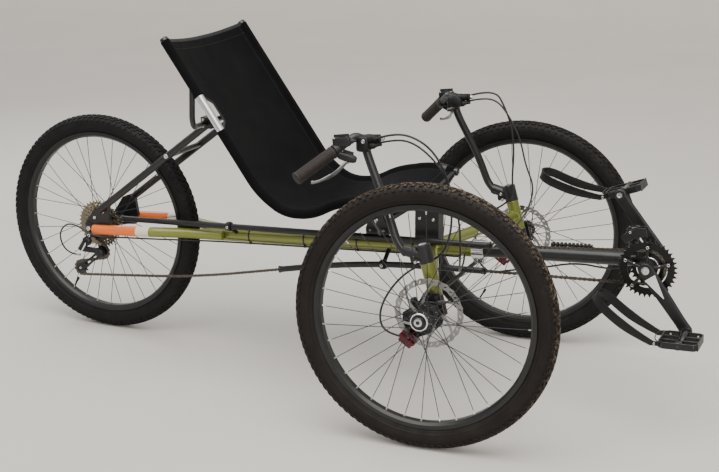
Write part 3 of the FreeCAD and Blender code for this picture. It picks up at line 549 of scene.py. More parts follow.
def treadColour(t, rubber, mud, low, high):
    # dried mud on a tyre's tread, by distance from the wheel's centre
    spot = t.objectPlace()
    flat = t.add("VectorMath", operation="MULTIPLY")
    flat.inputs[1].default_value = (1, 1, 0)
    t.link(spot, flat.inputs[0])
    length = t.add("VectorMath", operation="LENGTH")
    t.link(flat.outputs[0], length.inputs[0])
    outer = t.span(length.outputs["Value"], 0.326, 0.3385)
    specks = t.add("TexNoise", Scale=120.0, Detail=8.0, Roughness=0.75)
    t.link(spot, specks.inputs["Vector"])
    return t.blendColour(t.times(outer, t.ramp(specks.outputs["Fac"], low, high)), rubber, mud)


paint = {
    "green": material("greenPaint", frameColours["green"], 0.34, 0.62, coat=1.0, coatRoughness=0.07,
                      dust=0.16,
                      dustScale=18, colourFrom=lambda t: flakes(t, frameColours["green"]), specular=0.6),
    "stay": material("bandedPaint", frameColours["green"], 0.4, 0.12, coat=0.5, coatRoughness=0.12, dust=0.14,
                     dustScale=22, colourFrom=stayColours),
    "black": material("blackPaint", (0.004, 0.004, 0.0045), 0.4, dust=0.03, grain=0.05, grainScale=1400,
                      coat=0.2, coatRoughness=0.2, vary=0.1),
}
metal = {
    "bare": material("bareAlloy", (0.74, 0.74, 0.74), 0.27, 1.0, dust=0.08, vary=0.12, anisotropic=0.4),
    "silver": material("polishedSilver", (0.83, 0.83, 0.84), 0.16, 1.0, vary=0.1),
    "black": material("blackAnodised", (0.0055, 0.0055, 0.006), 0.42, 0.15, dust=0.03,
                      wear=(0.35, 0.35, 0.36), vary=0.15),
    "rim": material("rimBlack", (0.004, 0.004, 0.0045), 0.36, 0.15, dust=0.05, dustScale=14, vary=0.15,
                    specular=0.6),
    "spoke": material("spokeSteel", (0.05, 0.05, 0.054), 0.3, 0.85, dust=0.05),
    "nipple": material("nippleSilver", (0.62, 0.62, 0.62), 0.28, 1.0, dust=0.1),
    "chain": material("chainSteel", (0.13, 0.117, 0.10), 0.34, 0.95, dust=0.1, dustTint=(0.08, 0.06, 0.045),
                      vary=0.3, dustScale=160),
    "ring": material("chainringSteel", (0.016, 0.015, 0.015), 0.34, 0.7, dust=0.06,
                     dustTint=(0.1, 0.08, 0.06), vary=0.3, wear=(0.3, 0.28, 0.26)),
    "cog": material("cogSteel", (0.27, 0.225, 0.165), 0.36, 0.9, dust=0.1, dustTint=(0.10, 0.08, 0.06),
                    vary=0.25, dustScale=60),
    "rotor": material("rotorSteel", (0.30, 0.295, 0.29), 0.3, 1.0, vary=0.2, anisotropic=0.5),
    "maroon": material("redAnodised", (0.10, 0.005, 0.013), 0.32, 0.6, coat=0.4, vary=0.15),
    "screw": material("screwSteel", (0.6, 0.6, 0.6), 0.25, 1.0, vary=0.2),
    "darkScrew": material("darkScrew", (0.05, 0.05, 0.052), 0.32, 0.8, wear=(0.4, 0.4, 0.4)),
    "lever": material("leverAlloy", (0.21, 0.21, 0.215), 0.3, 0.95, vary=0.15, dust=0.05),
}
soft = {
    "plastic": material("blackPlastic", (0.0045, 0.0045, 0.005), 0.5, dust=0.03, specular=0.35, grain=0.12,
                        grainScale=700, vary=0.1),
    "gloss": material("glossPlastic", (0.006, 0.006, 0.0065), 0.22, dust=0.03, coat=0.3),
    "tube": material("tubePlastic", (0.004, 0.004, 0.0045), 0.42, dust=0.06, dustScale=26, vary=0.1),
    "cable": material("cableSleeve", (0.006, 0.006, 0.0065), 0.34, dust=0.05),
    "grip": material("gripRubber", (0.013, 0.0075, 0.0055), 0.7, dust=0.03, dustScale=70, grain=0.3,
                     grainScale=500),
    "fabric": material("seatFabric", (0.0022, 0.0022, 0.0026), 0.88, sheen=0.015, weave=0.8, dust=0.012,
                       dustScale=9, vary=0.15, specular=0.1),
    "webbing": material("blackWebbing", (0.007, 0.007, 0.0075), 0.75, sheen=0.04, grain=0.6, grainScale=420,
                        dust=0.03),
    "thread": material("blackThread", (0.018, 0.018, 0.019), 0.7, sheen=0.05),
}
tyreFinish = {  # rubber, mud, and where mud starts and is full in the noise
    "right": ((0.0085, 0.006, 0.0048), (0.25, 0.19, 0.13), 0.49, 0.64),
    "left": ((0.006, 0.005, 0.0046), (0.12, 0.10, 0.085), 0.52, 0.75),
    "rear": ((0.0045, 0.0045, 0.005), (0.10, 0.09, 0.08), 0.54, 0.78),
}
tyre = {key: material("tyreRubber_" + key, finish[0], 0.66, grain=0.25, grainScale=650, dust=0.04,
                      dustScale=24,
                      specular=0.22, colourFrom=lambda t, finish=finish: treadColour(t, *finish))
        for key, finish in tyreFinish.items()}


def paintNode(name, mat):
    obj = nodes[name]
    if not obj.material_slots:
        obj.data.materials.append(mat)
    for slot in obj.material_slots:
        slot.link = "OBJECT"
        slot.material = mat


bothSides = ("_left", "_right")
keptNodes = [  # material, CAD nodes that keep their own mesh, endings
    (paint["green"], ["main_tube"], [""]),
    (paint["green"], ["cross_arm"], bothSides),
    (paint["stay"], ["chainstays"], [""]),
    (paint["black"], ["dropouts", "seat_stays", "boom", "seat_hoop", "seat_bracket"], [""]),
    (paint["black"], ["handlebar"], bothSides),
    (metal["silver"], ["boom_clamp"], [""]),
    (metal["black"], ["tie_rod", "rear_hub"], [""]),
    (metal["black"], ["knuckle", "front_hub"], bothSides),
    (metal["bare"], ["seat_rail"], bothSides),
    (metal["rim"], ["rear_rim"], [""]),
    (metal["rim"], ["front_rim"], bothSides),
    (metal["spoke"], ["rear_spokes"], [""]),
    (metal["spoke"], ["front_spokes"], bothSides),
    (soft["tube"], ["chain_tubes"], [""]),
    (soft["plastic"], ["chain_tube_brackets"], [""]),
]
for mat, names, endings in keptNodes:
    for name in names:
        for ending in endings:
            paintNode(name + ending, mat)
print("materials and kept nodes are done", flush=True)


tyreSizes = {
    # half a section, from the bead to the crown: (radius, height) in mm
    "section": [(283.5, 12.7), (286, 13.4), (289, 16.2), (290.6, 17.6), (292, 17.7), (296, 20.6),
                (297.3, 22.2),
                (298.6, 22.2), (304, 24.6), (310, 25.5), (316.5, 25.2), (322, 23.4), (326.6, 20.2),
                (330.2, 15.6), (332.6, 10.2), (334, 5), (334.4, 0)],
    "bead": (280.5, 11.8), "treadRadius": 334, "pitches": 104, "segments": 208,
    "rows": [  # along the section from the crown, end, half length, height, half a pitch's share, skew
        (0.8, 8.2, 6.6, 3.3, 0.0, 1.6), (11.0, 18.2, 5.2, 3.4, 0.5, -1.2), (21.5, 28.8, 4.6, 3.0, 0.0, 0.8)],
}


def makeTyre(name, body, where, mat, node):
    z, n = tyreSizes, tyreSizes["pitches"]
    beadR, beadH = z["bead"]
    whole = z["section"] + [(r, -h) for r, h in z["section"][-2::-1]] + [(beadR, -beadH), (beadR, beadH)]
    carcass = revolve([(r * mm, h * mm) for r, h in whole], z["segments"], closed=True)
    outward = [Vector(p) for p in z["section"][::-1]]
    reach = [0.0]
    for a, b in zip(outward, outward[1:]):
        reach.append(reach[-1] + (b - a).length)

    def onSection(s, lift):
        i = max(k for k in range(len(reach) - 1) if reach[k] <= s)
        along = (outward[i + 1] - outward[i]).normalized()
        p = outward[i].lerp(outward[i + 1], (s - reach[i]) / (reach[i + 1] - reach[i]))
        return p + Vector((along.y, -along.x)) * lift

    # a knob is a block of three rings of four points: its foot, its chamfer and its top
    knob = [(0, 1, 5, 4), (1, 2, 6, 5), (2, 3, 7, 6), (3, 0, 4, 7), (4, 5, 9, 8), (5, 6, 10, 9),
            (6, 7, 11, 10), (7, 4, 8, 11), (8, 9, 10, 11)]
    points, faces = [], []
    for start, end, length, height, offset, skew in z["rows"]:
        for side in (1, -1):
            for k in range(n):
                middle = (k + offset + (0.5 if side < 0 else 0)) * circleTurn / n
                base = len(points)
                for lift, shrink in ((-1.2, 0), (height - 0.5, 0.35), (height, 0.9)):
                    near, far = start + shrink, end - shrink
                    for s, run, lean in ((near, -1, 1), (near, 1, 1), (far, 1, -1), (far, -1, -1)):
                        r, h = onSection(s, lift)
                        shift = (run * (length - shrink) + lean * skew * side) / z["treadRadius"]
                        points.append((*polar(r * mm, middle + shift), side * h * mm))
                faces += [tuple(base + i for i in (q if side < 0 else q[::-1])) for q in knob]
    addPiece(name, [carcass, (points, faces)], mat, body, [node], smooth=44, matrix=where)


spokeSizes = {
    "perSide": 18, "endRadius": 272, "rimY": 3, "flangeHalf": 1.75, "radius": 1.0,
    "flanges": {"front": [(-26.0, 25.0), (26.5, 23.0)], "rear": [(-19.0, 26.0), (34.0, 26.0)]},
    "nipple": [(1.0, 0), (1.75, 0.8), (1.75, 6.5), (2.2, 7.2), (2.2, 10.5), (1.2, 11)],
    "valve": [(3.0, 0), (3.0, 6), (2.7, 7), (2.7, 30), (3.4, 31), (3.9, 33), (3.9, 41), (3.0, 43.5),
              (1.5, 44.5)],
}


def spokeEnds(which):
    # the hub end, the rim end and which way the spoke's head faces, with the axle along Y
    z, ends = spokeSizes, []
    step = circleTurn / z["perSide"]
    for number, (flangeY, holeRadius) in enumerate(z["flanges"][which]):
        for i in range(z["perSide"]):
            lead = 1 if i % 2 else -1
            x, up = polar(holeRadius, (i + number / 2) * step)
            hub = Vector((x, flangeY + lead * (z["flangeHalf"] + z["radius"] - 0.2), up))
            x, up = polar(z["endRadius"], (i + number / 2 + 3 * lead) * step)
            rim = Vector((x, math.copysign(z["rimY"], flangeY), up))
            beyond = abs(hub.y) > abs(flangeY)
            ends.append((hub, rim, 1 if (hub.y > 0) == beyond else -1))
    return ends


def makeNipples(key, s, body, where):
    shapes = []
    for hub, rim, out in spokeEnds("rear" if key == "rear" else "front"):
        along = (rim - hub).normalized()
        a, b, q = (Vector((p.x, -s * p.z, p.y)) * mm for p in (rim - along * 12.5, rim - along * 1.5, hub))
        shapes.append(turnedPart(spokeSizes["nipple"], a, b, 8))
        # the elbow and head at the flange
        shapes.append(pin(q + Vector((0, 0, 0.0022 * out)), q - Vector((0, 0, 0.0052 * out)), 1.1, 0.3, 8))
    addPiece(f"{key}_nipples", shapes, metal["nipple"], body, matrix=where)
    foot = Vector((spokeSizes["endRadius"] * mm, 0, 0))
    addPiece(f"{key}_valve", [turnedPart(spokeSizes["valve"], foot, Vector((0, 0, 0)), 16)], soft["gloss"],
             body,
             matrix=where @ Matrix.Rotation(2.1, 4, "Z"))


rotorSizes = {
    "outer": 89.6, "wave": 1.1, "waves": 24, "band": 73.5, "ring": 31.5, "bore": 20.4, "arms": 6,
    "armHalf": 3.6,
    "flare": 1.6, "swirl": 0.62, "y": -40, "thickness": 1.8, "bolts": 25.6,
    "slots": 30, "slotHalf": (4.6, 1.7), "slotRows": ((80.6, 0.95), (81.2, 0.62)),   # radius and lean of each
}


def makeRotor(key, s, body, where, node):
    z = rotorSizes
    turn = circleTurn / z["arms"]
    outline = []
    for k in range(288):
        a = circleTurn * k / 288
        outline.append(polar((z["outer"] + z["wave"] * (math.cos(z["waves"] * a) - 1)) * mm, a))
    holes = [circle(z["bore"] * mm, 40)]

    def armAngle(r):
        return z["swirl"] * ((r - z["ring"]) / (z["band"] - z["ring"])) ** 0.8

    def armSide(k, sign):
        # one edge of an arm, from the inner ring out to the band
        edge = []
        for i in range(11):
            r = z["ring"] + (z["band"] - z["ring"]) * i / 10
            edge.append(polar(r * mm,
                              k * turn + armAngle(r) + sign * (z["armHalf"] + z["flare"] * (1 - i / 10)) / r))
        return edge

    for k in range(z["arms"]):
        reach = armAngle(z["band"])
        start = k * turn + reach + z["armHalf"] / z["band"]
        end = (k + 1) * turn + reach - z["armHalf"] / z["band"]
        loop = armSide(k, 1)
        for i in range(1, 14):
            bulge = 1.4 * math.sin(math.pi * i / 14 * 3) ** 2
            loop.append(polar((z["band"] + bulge) * mm, start + (end - start) * i / 14))
        holes.append(loop + armSide(k + 1, -1)[::-1])
    for k in range(z["slots"]):
        a = circleTurn * k / z["slots"]
        radius, lean = z["slotRows"][k % 2]
        centre, ahead, across = (Vector(polar(*p)) for p in ((radius * mm, a), (1, a + lean),
                                                             (1, a + lean + math.pi / 2)))
        holes.append([tuple(centre + ahead * (z["slotHalf"][0] * mm * c) +
                            across * (z["slotHalf"][1] * mm * d)) for c, d in circle(1, 12)])
    plate = flatShape(outline, holes, z["thickness"] * mm, 0.00025)
    plate = moved(plate, Matrix.Translation((0, 0, z["y"] * mm)))
    if s < 0:
        plate = moved(plate, Matrix.Diagonal((1, -1, 1, 1)))
    addPiece(f"front_rotor_{key}", [plate], metal["rotor"], body, [node], matrix=where)
    bolts = [screw((*polar(z["bolts"] * mm, k * turn + 0.35), (z["y"] - 0.9) * mm), (0, 0, -1), 3.7, 2.6)
             for k in range(6)]
    addPiece(f"front_rotor_bolts_{key}", bolts, metal["darkScrew"], body, matrix=where)


def makeHubTrim(key, body, where):
    # the pale end ring and a shell ring of a front hub
    shapes = [sleeve(10.3, [(21.6, 0), (22.6, 0.8), (22.6, 6.4), (21.8, 7.2), (19.6, 7.3), (18.2, 5.6),
                            (13.4, 5.2), (12.6, 4.0)], (0, 0, 0.0352), (0, 0, 0.05), 56),
              turnedPart([(19.2, 0), (20.6, 0.5), (20.6, 3), (19.2, 3.5)], (0, 0, 0.0115), (0, 0, 0.02), 48)]
    addPiece(f"front_hub_ring_{key}", shapes, metal["silver"], body, matrix=where)


for key in ("left", "right", "rear"):
    s = -1 if key == "right" else 1
    if key == "rear":
        where = wheelFrame(joints["rear_wheel_spin"])
        makeTyre("rear_knobby_tyre", "rear_wheel", where, tyre[key], "rear_tyre")
        makeNipples(key, s, "rear_wheel", where)
        continue
    body = "front_wheel_" + key
    where = wheelFrame(joints[body + "_spin"], s)
    makeTyre("front_knobby_tyre_" + key, body, where, tyre[key], "front_tyre_" + key)
    makeNipples(key, s, body, where)
    makeRotor(key, s, body, where, "front_disc_" + key)
    makeHubTrim(key, body, where)
print("wheels are done", flush=True)


drive = {
    "pitch": 12.7, "cassetteTeeth": (36, 32, 28, 24, 21, 18, 15, 13, 11), "firstCog": 29.5, "cogPitch": 4.35,
    "chainCog": 6, "bigRing": 36, "smallRing": 22, "ringSpacing": 8.5, "pulley": 11, "mouth": (1278, 427),
    "mouthBend": 160, "guide": (24, 259), "tension": (-58, 198), "crank": (1700, 419.5),
}
chainY = -(drive["firstCog"] + drive["cogPitch"] * drive["chainCog"])
bigRingY = chainY - drive["ringSpacing"]
cassetteCentre = (0.0, stance["axleZ"])


def pitchRadius(teeth):
    return teeth * drive["pitch"] / circleTurn


def gearOutline(teeth, phase=0.0, tip=3.9, root=3.9):
    p, out = pitchRadius(teeth), []
    flank = [(0.1, p - root + 0.2), (0.2, p - root + 1.3), (0.29, p - 0.6), (0.37, p + 1.9),
             (0.455, p + tip - 0.1)]
    rising = [(-share, r) for share, r in flank[::-1]]
    for k in range(teeth):
        for share, r in [(-0.5, p + tip), *rising, (0, p - root), *flank]:
            out.append(polar(r * mm, phase + (k + share) * circleTurn / teeth))
    return out


def bow(x, z, slope, radius, turn):
    # a slight bend of the chain about a far centre
    lean = math.radians(slope)
    return (x - turn * radius * math.sin(lean), z + turn * radius * math.cos(lean), radius, turn)


stations = [  # where the chain turns: x, z, radius, and 1 or -1 for the way round
    (*drive["crank"], pitchRadius(drive["smallRing"]), 1),
    (drive["mouth"][0], drive["mouth"][1] + drive["mouthBend"], drive["mouthBend"], -1),
    (*cassetteCentre, pitchRadius(drive["cassetteTeeth"][drive["chainCog"]]), 1),
    (*drive["guide"], pitchRadius(drive["pulley"]), -1),
    (*drive["tension"], pitchRadius(drive["pulley"]), 1),
    bow(320.0, 218.0, 8.4, 3000.0, 1),
    bow(962.0, 335.0, 6.4, 2600.0, -1),
]


def chainPath():
    # the closed line of the chain as (x, z) points, every 3 mm or so, and its arcs
    runs = []
    for (ax, az, ar, at), (bx, bz, br, bt) in zip(stations, stations[1:] + stations[:1]):
        ar, br = at * ar, bt * br
        dx, dz = bx - ax, bz - az
        heading = math.atan2(dz, dx) + math.asin((ar - br) / math.hypot(dx, dz))
        nx, nz = math.sin(heading), -math.cos(heading)
        runs.append((Vector((ax + ar * nx, az + ar * nz)), Vector((bx + br * nx, bz + br * nz))))
    line, arcs = [], []
    for i, (start, end) in enumerate(runs):
        steps = max(2, int((end - start).length / 3))
        line += [start.lerp(end, k / steps) for k in range(steps)]
        x, z, radius, turn = stations[(i + 1) % len(stations)]
        centre = Vector((x, z))
        leave = runs[(i + 1) % len(runs)][0]
        first = math.atan2(*(end - centre).yx)
        sweepAngle = (math.atan2(*(leave - centre).yx) - first) * turn % circleTurn
        steps = max(2, int(radius * sweepAngle / 2.5))
        arcs.append((len(line), centre, radius * sweepAngle))
        line += [Vector(p) for p in arc(centre, radius, first, first + turn * sweepAngle, steps)[:-1]]
    return line, arcs


chainLine, chainArcs = chainPath()
lengths = [0.0]
for a, b in zip(chainLine, chainLine[1:] + chainLine[:1]):
    lengths.append(lengths[-1] + (b - a).length)
linkCount = 2 * round(lengths[-1] / drive["pitch"] / 2)
linkLength = lengths[-1] / linkCount


def onChain(s):
    s = s % lengths[-1]
    i = min(int(np.searchsorted(lengths, s, side="right")) - 1, len(chainLine) - 1)
    t = (s - lengths[i]) / max(lengths[i + 1] - lengths[i], 1e-9)
    return chainLine[i].lerp(chainLine[(i + 1) % len(chainLine)], t)


def phaseAt(centre):
    # the angle of a chain pin that lies on the arc round this centre
    start, middle, length = min(chainArcs, key=lambda found: (found[1] - Vector(centre)).length)
    pinNumber = round((lengths[start] + length * 0.5) / linkLength)
    p = onChain(pinNumber * linkLength) - middle
    return math.atan2(p.y, p.x)


linkSizes = {"radius": 4.1, "waist": 2.7, "plate": 1.0, "innerY": 1.75, "outerY": 2.8, "pin": 1.9,
             "pinEnd": 3.3,
             "roller": 3.8, "rollerEnd": 1.2}


def linkPlates(y):
    # two plates, one on each side of the chain
    z, shapes = linkSizes, []
    outline = arc((0, 0), z["radius"], math.pi / 2, math.pi * 1.5, 6) + [(linkLength / 2, -z["waist"])]
    outline += arc((linkLength, 0), z["radius"], -math.pi / 2, math.pi / 2, 6)
    outline += [(linkLength / 2, z["waist"])]
    n = len(outline)
    for middle in (-y, y):
        pts = [(x, middle + side * z["plate"] / 2, up) for side in (-1, 1) for x, up in outline]
        fcs = [tuple(range(n)), tuple(range(2 * n - 1, n - 1, -1))]
        fcs += [(i, i + n, (i + 1) % n + n, (i + 1) % n) for i in range(n)]
        shapes.append((pts, fcs))
    return joined(shapes)


def makeChain():
    z = linkSizes
    inner, outer = linkPlates(z["innerY"]), linkPlates(z["outerY"])
    barrel = joined([pin((0, -z["pinEnd"], 0), (0, z["pinEnd"], 0), z["pin"] / mm, 0.0, 8),
                     pin((0, -z["rollerEnd"], 0), (0, z["rollerEnd"], 0), z["roller"] / mm, 0.0, 10)])
    shapes = []
    for k in range(linkCount):
        a, b = onChain(k * linkLength), onChain((k + 1) * linkLength)
        ahead = (b - a).normalized() * mm
        m = axes((ahead.x, 0, ahead.y), (0, mm, 0), (-ahead.y, 0, ahead.x), place(a.x, chainY, a.y))
        shapes += [moved(outer if k % 2 else inner, m), moved(barrel, m)]
    addPiece("roller_chain", shapes, metal["chain"], "frame", ["chain"], smooth=50)


cassetteSizes = {"bore": 17.2, "cogThickness": 1.9, "start": -28.5, "arms": 7, "windows": (23.0, 9.5),
                 "smallestWindow": 21}


def makeCassette():
    z, shapes = cassetteSizes, []
    for i, teeth in enumerate(drive["cassetteTeeth"]):
        phase = phaseAt(cassetteCentre) if i == drive["chainCog"] else 0.31 * i
        holes = [circle(z["bore"] * mm, 36)]
        inner, outer = z["windows"][0], pitchRadius(teeth) - z["windows"][1]
        if teeth >= z["smallestWindow"] and outer - inner > 4:
            # openings between the spider's arms
            for k in range(z["arms"]):
                a, b = (circleTurn * (k + share) / z["arms"] + i * 0.2 for share in (0.16, 0.84))
                holes.append(arc((0, 0), inner * mm, a, b, 6) +
                             arc((0, 0), outer * mm, b + 0.12, a + 0.12, 6))
        gear = flatShape(gearOutline(teeth, phase), holes, z["cogThickness"] * mm)
        shapes.append(moved(gear, upright(cassetteCentre, -(drive["firstCog"] + drive["cogPitch"] * i))))
    start, end = z["start"], -(drive["firstCog"] + drive["cogPitch"] * (len(drive["cassetteTeeth"]) - 1)) - 1
    core = [place(0, y, stance["axleZ"]) for y in (start, end, end - 10)]
    shapes.append(sleeve(17.0, [(19.5, 0), (19.5, start - end)], *core[:2], 40))
    shapes.append(sleeve(12, [(17.4, 0), (17.8, 0.6), (17.4, 2.2), (14.6, 2.6), (13.8, 1.6)], *core[1:], 40))
    addPiece("cassette_sprockets", shapes, metal["cog"], "rear_wheel", ["rear_cassette"])


makeChain()
makeCassette()
print("chain and cassette are done", flush=True)


def atCrank(y):
    return place(drive["crank"][0], y, drive["crank"][1])


crankCentre = atCrank(0)
crankEnds = {side: Vector(joints[f"pedal_{side}_spin"]["pos_m"]) for side in sides}
crankSizes = {"near": 73, "far": 87, "spindle": 12, "spiderY": bigRingY - 5, "boltCircle": 57,
              "innerBolts": 34,
              "spiderArms": 5, "firstArm": 18, "armWidth": 20.5, "armTaper": 6.6}


def spiderOut(k):
    a = math.radians(360 / crankSizes["spiderArms"] * k + crankSizes["firstArm"])
    return Vector((math.cos(a), 0, math.sin(a)))


def crankArm(side):
    z, s = crankSizes, sides[side]
    middle = left * (z["near"] + z["far"]) / 2 * s * mm
    start, end = crankCentre + middle, crankEnds[side] + middle
    path, sections = [], []
    for k in range(15):
        t = k / 14
        width = (z["armWidth"] - z["armTaper"] * t + 2.0 * math.exp(-((t - 1) / 0.1) ** 2)) * mm
        path.append(start.lerp(end, t))
        sections.append(ring((6.8 - 1.0 * math.sin(math.pi * t)) * mm, width, 20, 3.2))
    steep = abs((end - start).normalized().z) >= 0.9
    shapes = [sweep(path, sections, up=(1, 0, 0) if steep else (0, 0, 1))]
    thick = z["far"] - z["near"]
    for centre, r in ((crankCentre, 18.6), (crankEnds[side], 13.6)):
        boss = [(0, 0), (r - 1.4, 0), (r, 1.4), (r, thick - 1.6), (r - 1.6, thick), (0, thick)]
        shapes.append(turnedPart(boss, centre + left * s * mm * z["near"], centre + left * s * mm * z["far"],
                                 36))
    return shapes


def makeCranks():
    z = crankSizes
    spiderY = z["spiderY"]
    arms = crankArm("left") + crankArm("right")
    for k in range(z["spiderArms"]):
        inner = crankCentre + left * (spiderY - 1.5) * mm + spiderOut(k) * 0.012
        outer = crankCentre + left * spiderY * mm + spiderOut(k) * 0.0615
        arms.append(sweep([inner.lerp(outer, t / 6) for t in range(7)],
                          [ring((4.2 + 0.4 * abs(t - 3)) * mm, (9.5 - 0.55 * t) * mm, 14, 3)
                           for t in range(7)]))
    arms.append(sleeve(12, [(25.5, 0), (26.5, 2), (24, 9), (21, 17)], atCrank(-57.4), atCrank(-90), 44))
    arms.append(pin(atCrank(86), atCrank(-86), z["spindle"], 0.5, 32))
    addPiece("crank_arms", arms, metal["black"], "crankset", ["crankset"])

    bolts = []
    cap = [(0, 0), (9.2, 0), (10.4, 1.2), (10.4, 2.6), (8.6, 3.2), (5.2, 3.2), (5.0, 1.2), (0, 1.0)]
    for y in (-86.2, 86.2):
        bolts.append(turnedPart(cap, atCrank(y), atCrank(y * 1.1), 24))
    for side, s in sides.items():
        at = crankEnds[side]
        bolts.append(turnedPart([(0, 0), (7.6, 0), (7.6, 1.6), (5, 1.8), (4, 0.6), (0, 0.5)],
                                at + left * 72.2 * s * mm, at + left * 60 * s * mm, 20))
    for k in range(z["spiderArms"]):
        for reach, y in ((z["boltCircle"], spiderY - 4.6), (z["innerBolts"], spiderY - 4.9)):
            bolts.append(screw(crankCentre + spiderOut(k) * reach * mm + left * y * mm, -left, 4.3, 2.4))
        at = crankCentre + spiderOut(k) * z["boltCircle"] * mm
        bolts.append(pin(at + left * (bigRingY + 1) * mm, at + left * (bigRingY + 2.6) * mm, 5, 0.5, 16))
    addPiece("crank_bolts", bolts, metal["screw"], "crankset")

    # a painted highlight: a thin polished silver patch on the near arm's outer face beside its boss, standing
    # in for where the arm catches the light
    down = (crankEnds["right"] - crankCentre).normalized()
    wide = down.cross(left).normalized()
    highlightOutline = [down * 0.021 + wide * 0.0155, down * 0.021 - wide * 0.0155, down * 0.084 - wide * 0.001,
             down * 0.084 + wide * 0.001]
    pts = [atCrank(-87.2) + p + left * 0.0012 * lift for lift in (1.6, 0) for p in highlightOutline]
    addPiece("crank_painted_highlight", [(pts, [(4, 5, 6, 7), (0, 1, 5, 4), (1, 2, 6, 5), (2, 3, 7, 6), (3, 0, 4, 7)])],
             metal["silver"], "crankset")


chainringSizes = [  # teeth, y, thickness, bore, how far the five lugs reach in, phase
    (drive["bigRing"], bigRingY, 2.6, 51, 0.07, 0.05),
    (drive["smallRing"], chainY, 2.4, 30, 0.05, phaseAt(drive["crank"])),
]
cupSizes = {"face": 33.8, "notches": 12, "profile": [(21.5, 0), (21.5, 5), (20.6, 6), (17, 6.4), (16.4, 7.6)]}


def makeChainrings():
    rings = []
    for teeth, y, thickness, bore, lug, phase in chainringSizes:
        inner = []
        for k in range(80):
            a = circleTurn * k / 80
            turned = a - math.radians(crankSizes["firstArm"])
            lobe = max(0, math.cos(crankSizes["spiderArms"] * turned)) ** 3
            inner.append(polar(bore * mm * (1 - lug * lobe), a))
        gear = flatShape(gearOutline(teeth, phase, tip=4.1), [inner], thickness * mm, 0.0006)
        rings.append(moved(gear, upright(drive["crank"], y)))
    addPiece("chainrings", rings, metal["ring"], "crankset")

    cups = []
    for s in (1, -1):
        cups.append(sleeve(12.3, cupSizes["profile"], atCrank(cupSizes["face"] * s), atCrank(60 * s), 40))
        for c, d in circle(1, cupSizes["notches"]):
            notch = roundBox((0.0016, 0.004, 0.006), 0.0004, 1)
            cups.append(moved(notch, facing((c, 0, d), atCrank(36.6 * s) + Vector((c, 0, d)) * 0.0214)))
    addPiece("bracket_cups", cups, metal["silver"], "frame")


pedalSizes = {
    "offset": 151, "length": 96, "width": 92, "height": 22, "pitch": {"right": -2.0, "left": -20.0}, "cut": 9,
    "barrel": [(6, 0), (10.6, 0), (11.6, 2), (11.6, 10), (9.4, 14), (9.0, 46), (9.4, 76), (11.2, 80),
               (11.2, 89), (9, 92), (3, 93), (0, 93)],
    "axle": [(0, 0), (4.9, 0), (6.4, 0.2), (6.4, 5), (7.8, 5.4), (7.8, 11), (6.6, 12.4), (5.4, 17), (5.0, 40),
             (0, 40)],
}


def pedalFrame(side):
    # mm about the pedal's middle, X forward and Y outwards, pitched with the pedal
    centre = crankEnds[side] + left * sides[side] * pedalSizes["offset"] * mm
    return (Matrix.Translation(centre) @ Matrix.Rotation(math.radians(pedalSizes["pitch"][side]), 4, "Y")
            @ Matrix.Diagonal((mm, sides[side] * mm, mm, 1)))


def cageBar(start, end, height, thick, teeth=0):
    # a strip on edge between two (x, y) places in mm; teeth stand on its two long edges
    start, end = Vector((*start, 0)), Vector((*end, 0))
    length = (end - start).length
    n = teeth * 4 if teeth else 1
    row = []
    for k in range(n + 1):
        gap = teeth and k % 4 in (0, 3) and 0 < k < n
        row.append((length * k / n * mm, (height / 2 - (1.6 if gap else 0)) * mm))
    pts, fcs = flatShape([(x, -y) for x, y in row] + row[::-1], [], thick * mm, 0.0004)
    ahead, up = (end - start).normalized(), Vector((0, 0, 1))
    return moved((np.array(pts) / mm, fcs), axes(ahead, up, ahead.cross(up), start))


def makePedal(side):
    z = pedalSizes
    along, across, c = z["length"] / 2, z["width"] / 2, z["cut"]
    m, body = pedalFrame(side), "pedal_" + side
    loop = [(along - c, -across), (along, -across + c), (along, across - c), (along - c, across),
            (-along + c, across), (-along, across - c), (-along, -across + c), (-along + c, -across)]
    bars = []
    for k in range(8):
        a, b = (tuple(v * 0.985 for v in loop[i % 8]) for i in (k, k + 1))
        toothed = k in (1, 5)
        bars.append(cageBar(a, b, z["height"] - (1 if toothed else 5), 3.0, 9 if toothed else 0))
    bars += [cageBar((-along + 2, y), (along - 2, y), 13, 5) for y in (-15, 15)]
    bars.append(cageBar((0, -across + 1), (0, across - 1), 12, 8))
    addPiece(f"pedal_cage_{side}", [moved(bar, m) for bar in bars], metal["black"], body,
             [body], smooth=30)
    outward = (m.to_3x3() @ left).normalized()
    centre = m @ Vector((0, 0, 0))
    addPiece(f"pedal_barrel_{side}",
             [turnedPart(z["barrel"], centre - outward * 0.046, centre + outward, 28)],
             soft["gloss"], body)
    inner = crankEnds[side] + outward * 87.4 * mm
    steel = [turnedPart(z["axle"], inner, inner + outward, 24)]
    for x in (-34, 34):
        for y, sign in ((-43.82, -1), (44.52, 1)):
            steel.append(screw(m @ Vector((x, y, 0)), outward * sign, 2.6, 1.4))
    addPiece(f"pedal_axle_{side}", steel, metal["screw"], body)


loopSizes = {
    "length": 185, "half": 43, "band": 4.2, "height": 28, "rise": 34, "tab": 18, "bulge": 8,
    # the band's section: across it, and up it as a share of half its height
    "section": [(-0.5, -1), (-0.5, -0.4), (-0.5, 0.4), (-0.5, 1), (0.5, 1), (0.5, 0.4), (0.5, -0.4),
                (0.5, -1)],
    "wire": [(-44, -44, 6), (-58, -38, 9), (-62, 0, 10), (-58, 38, 9), (-44, 44, 6)],
}


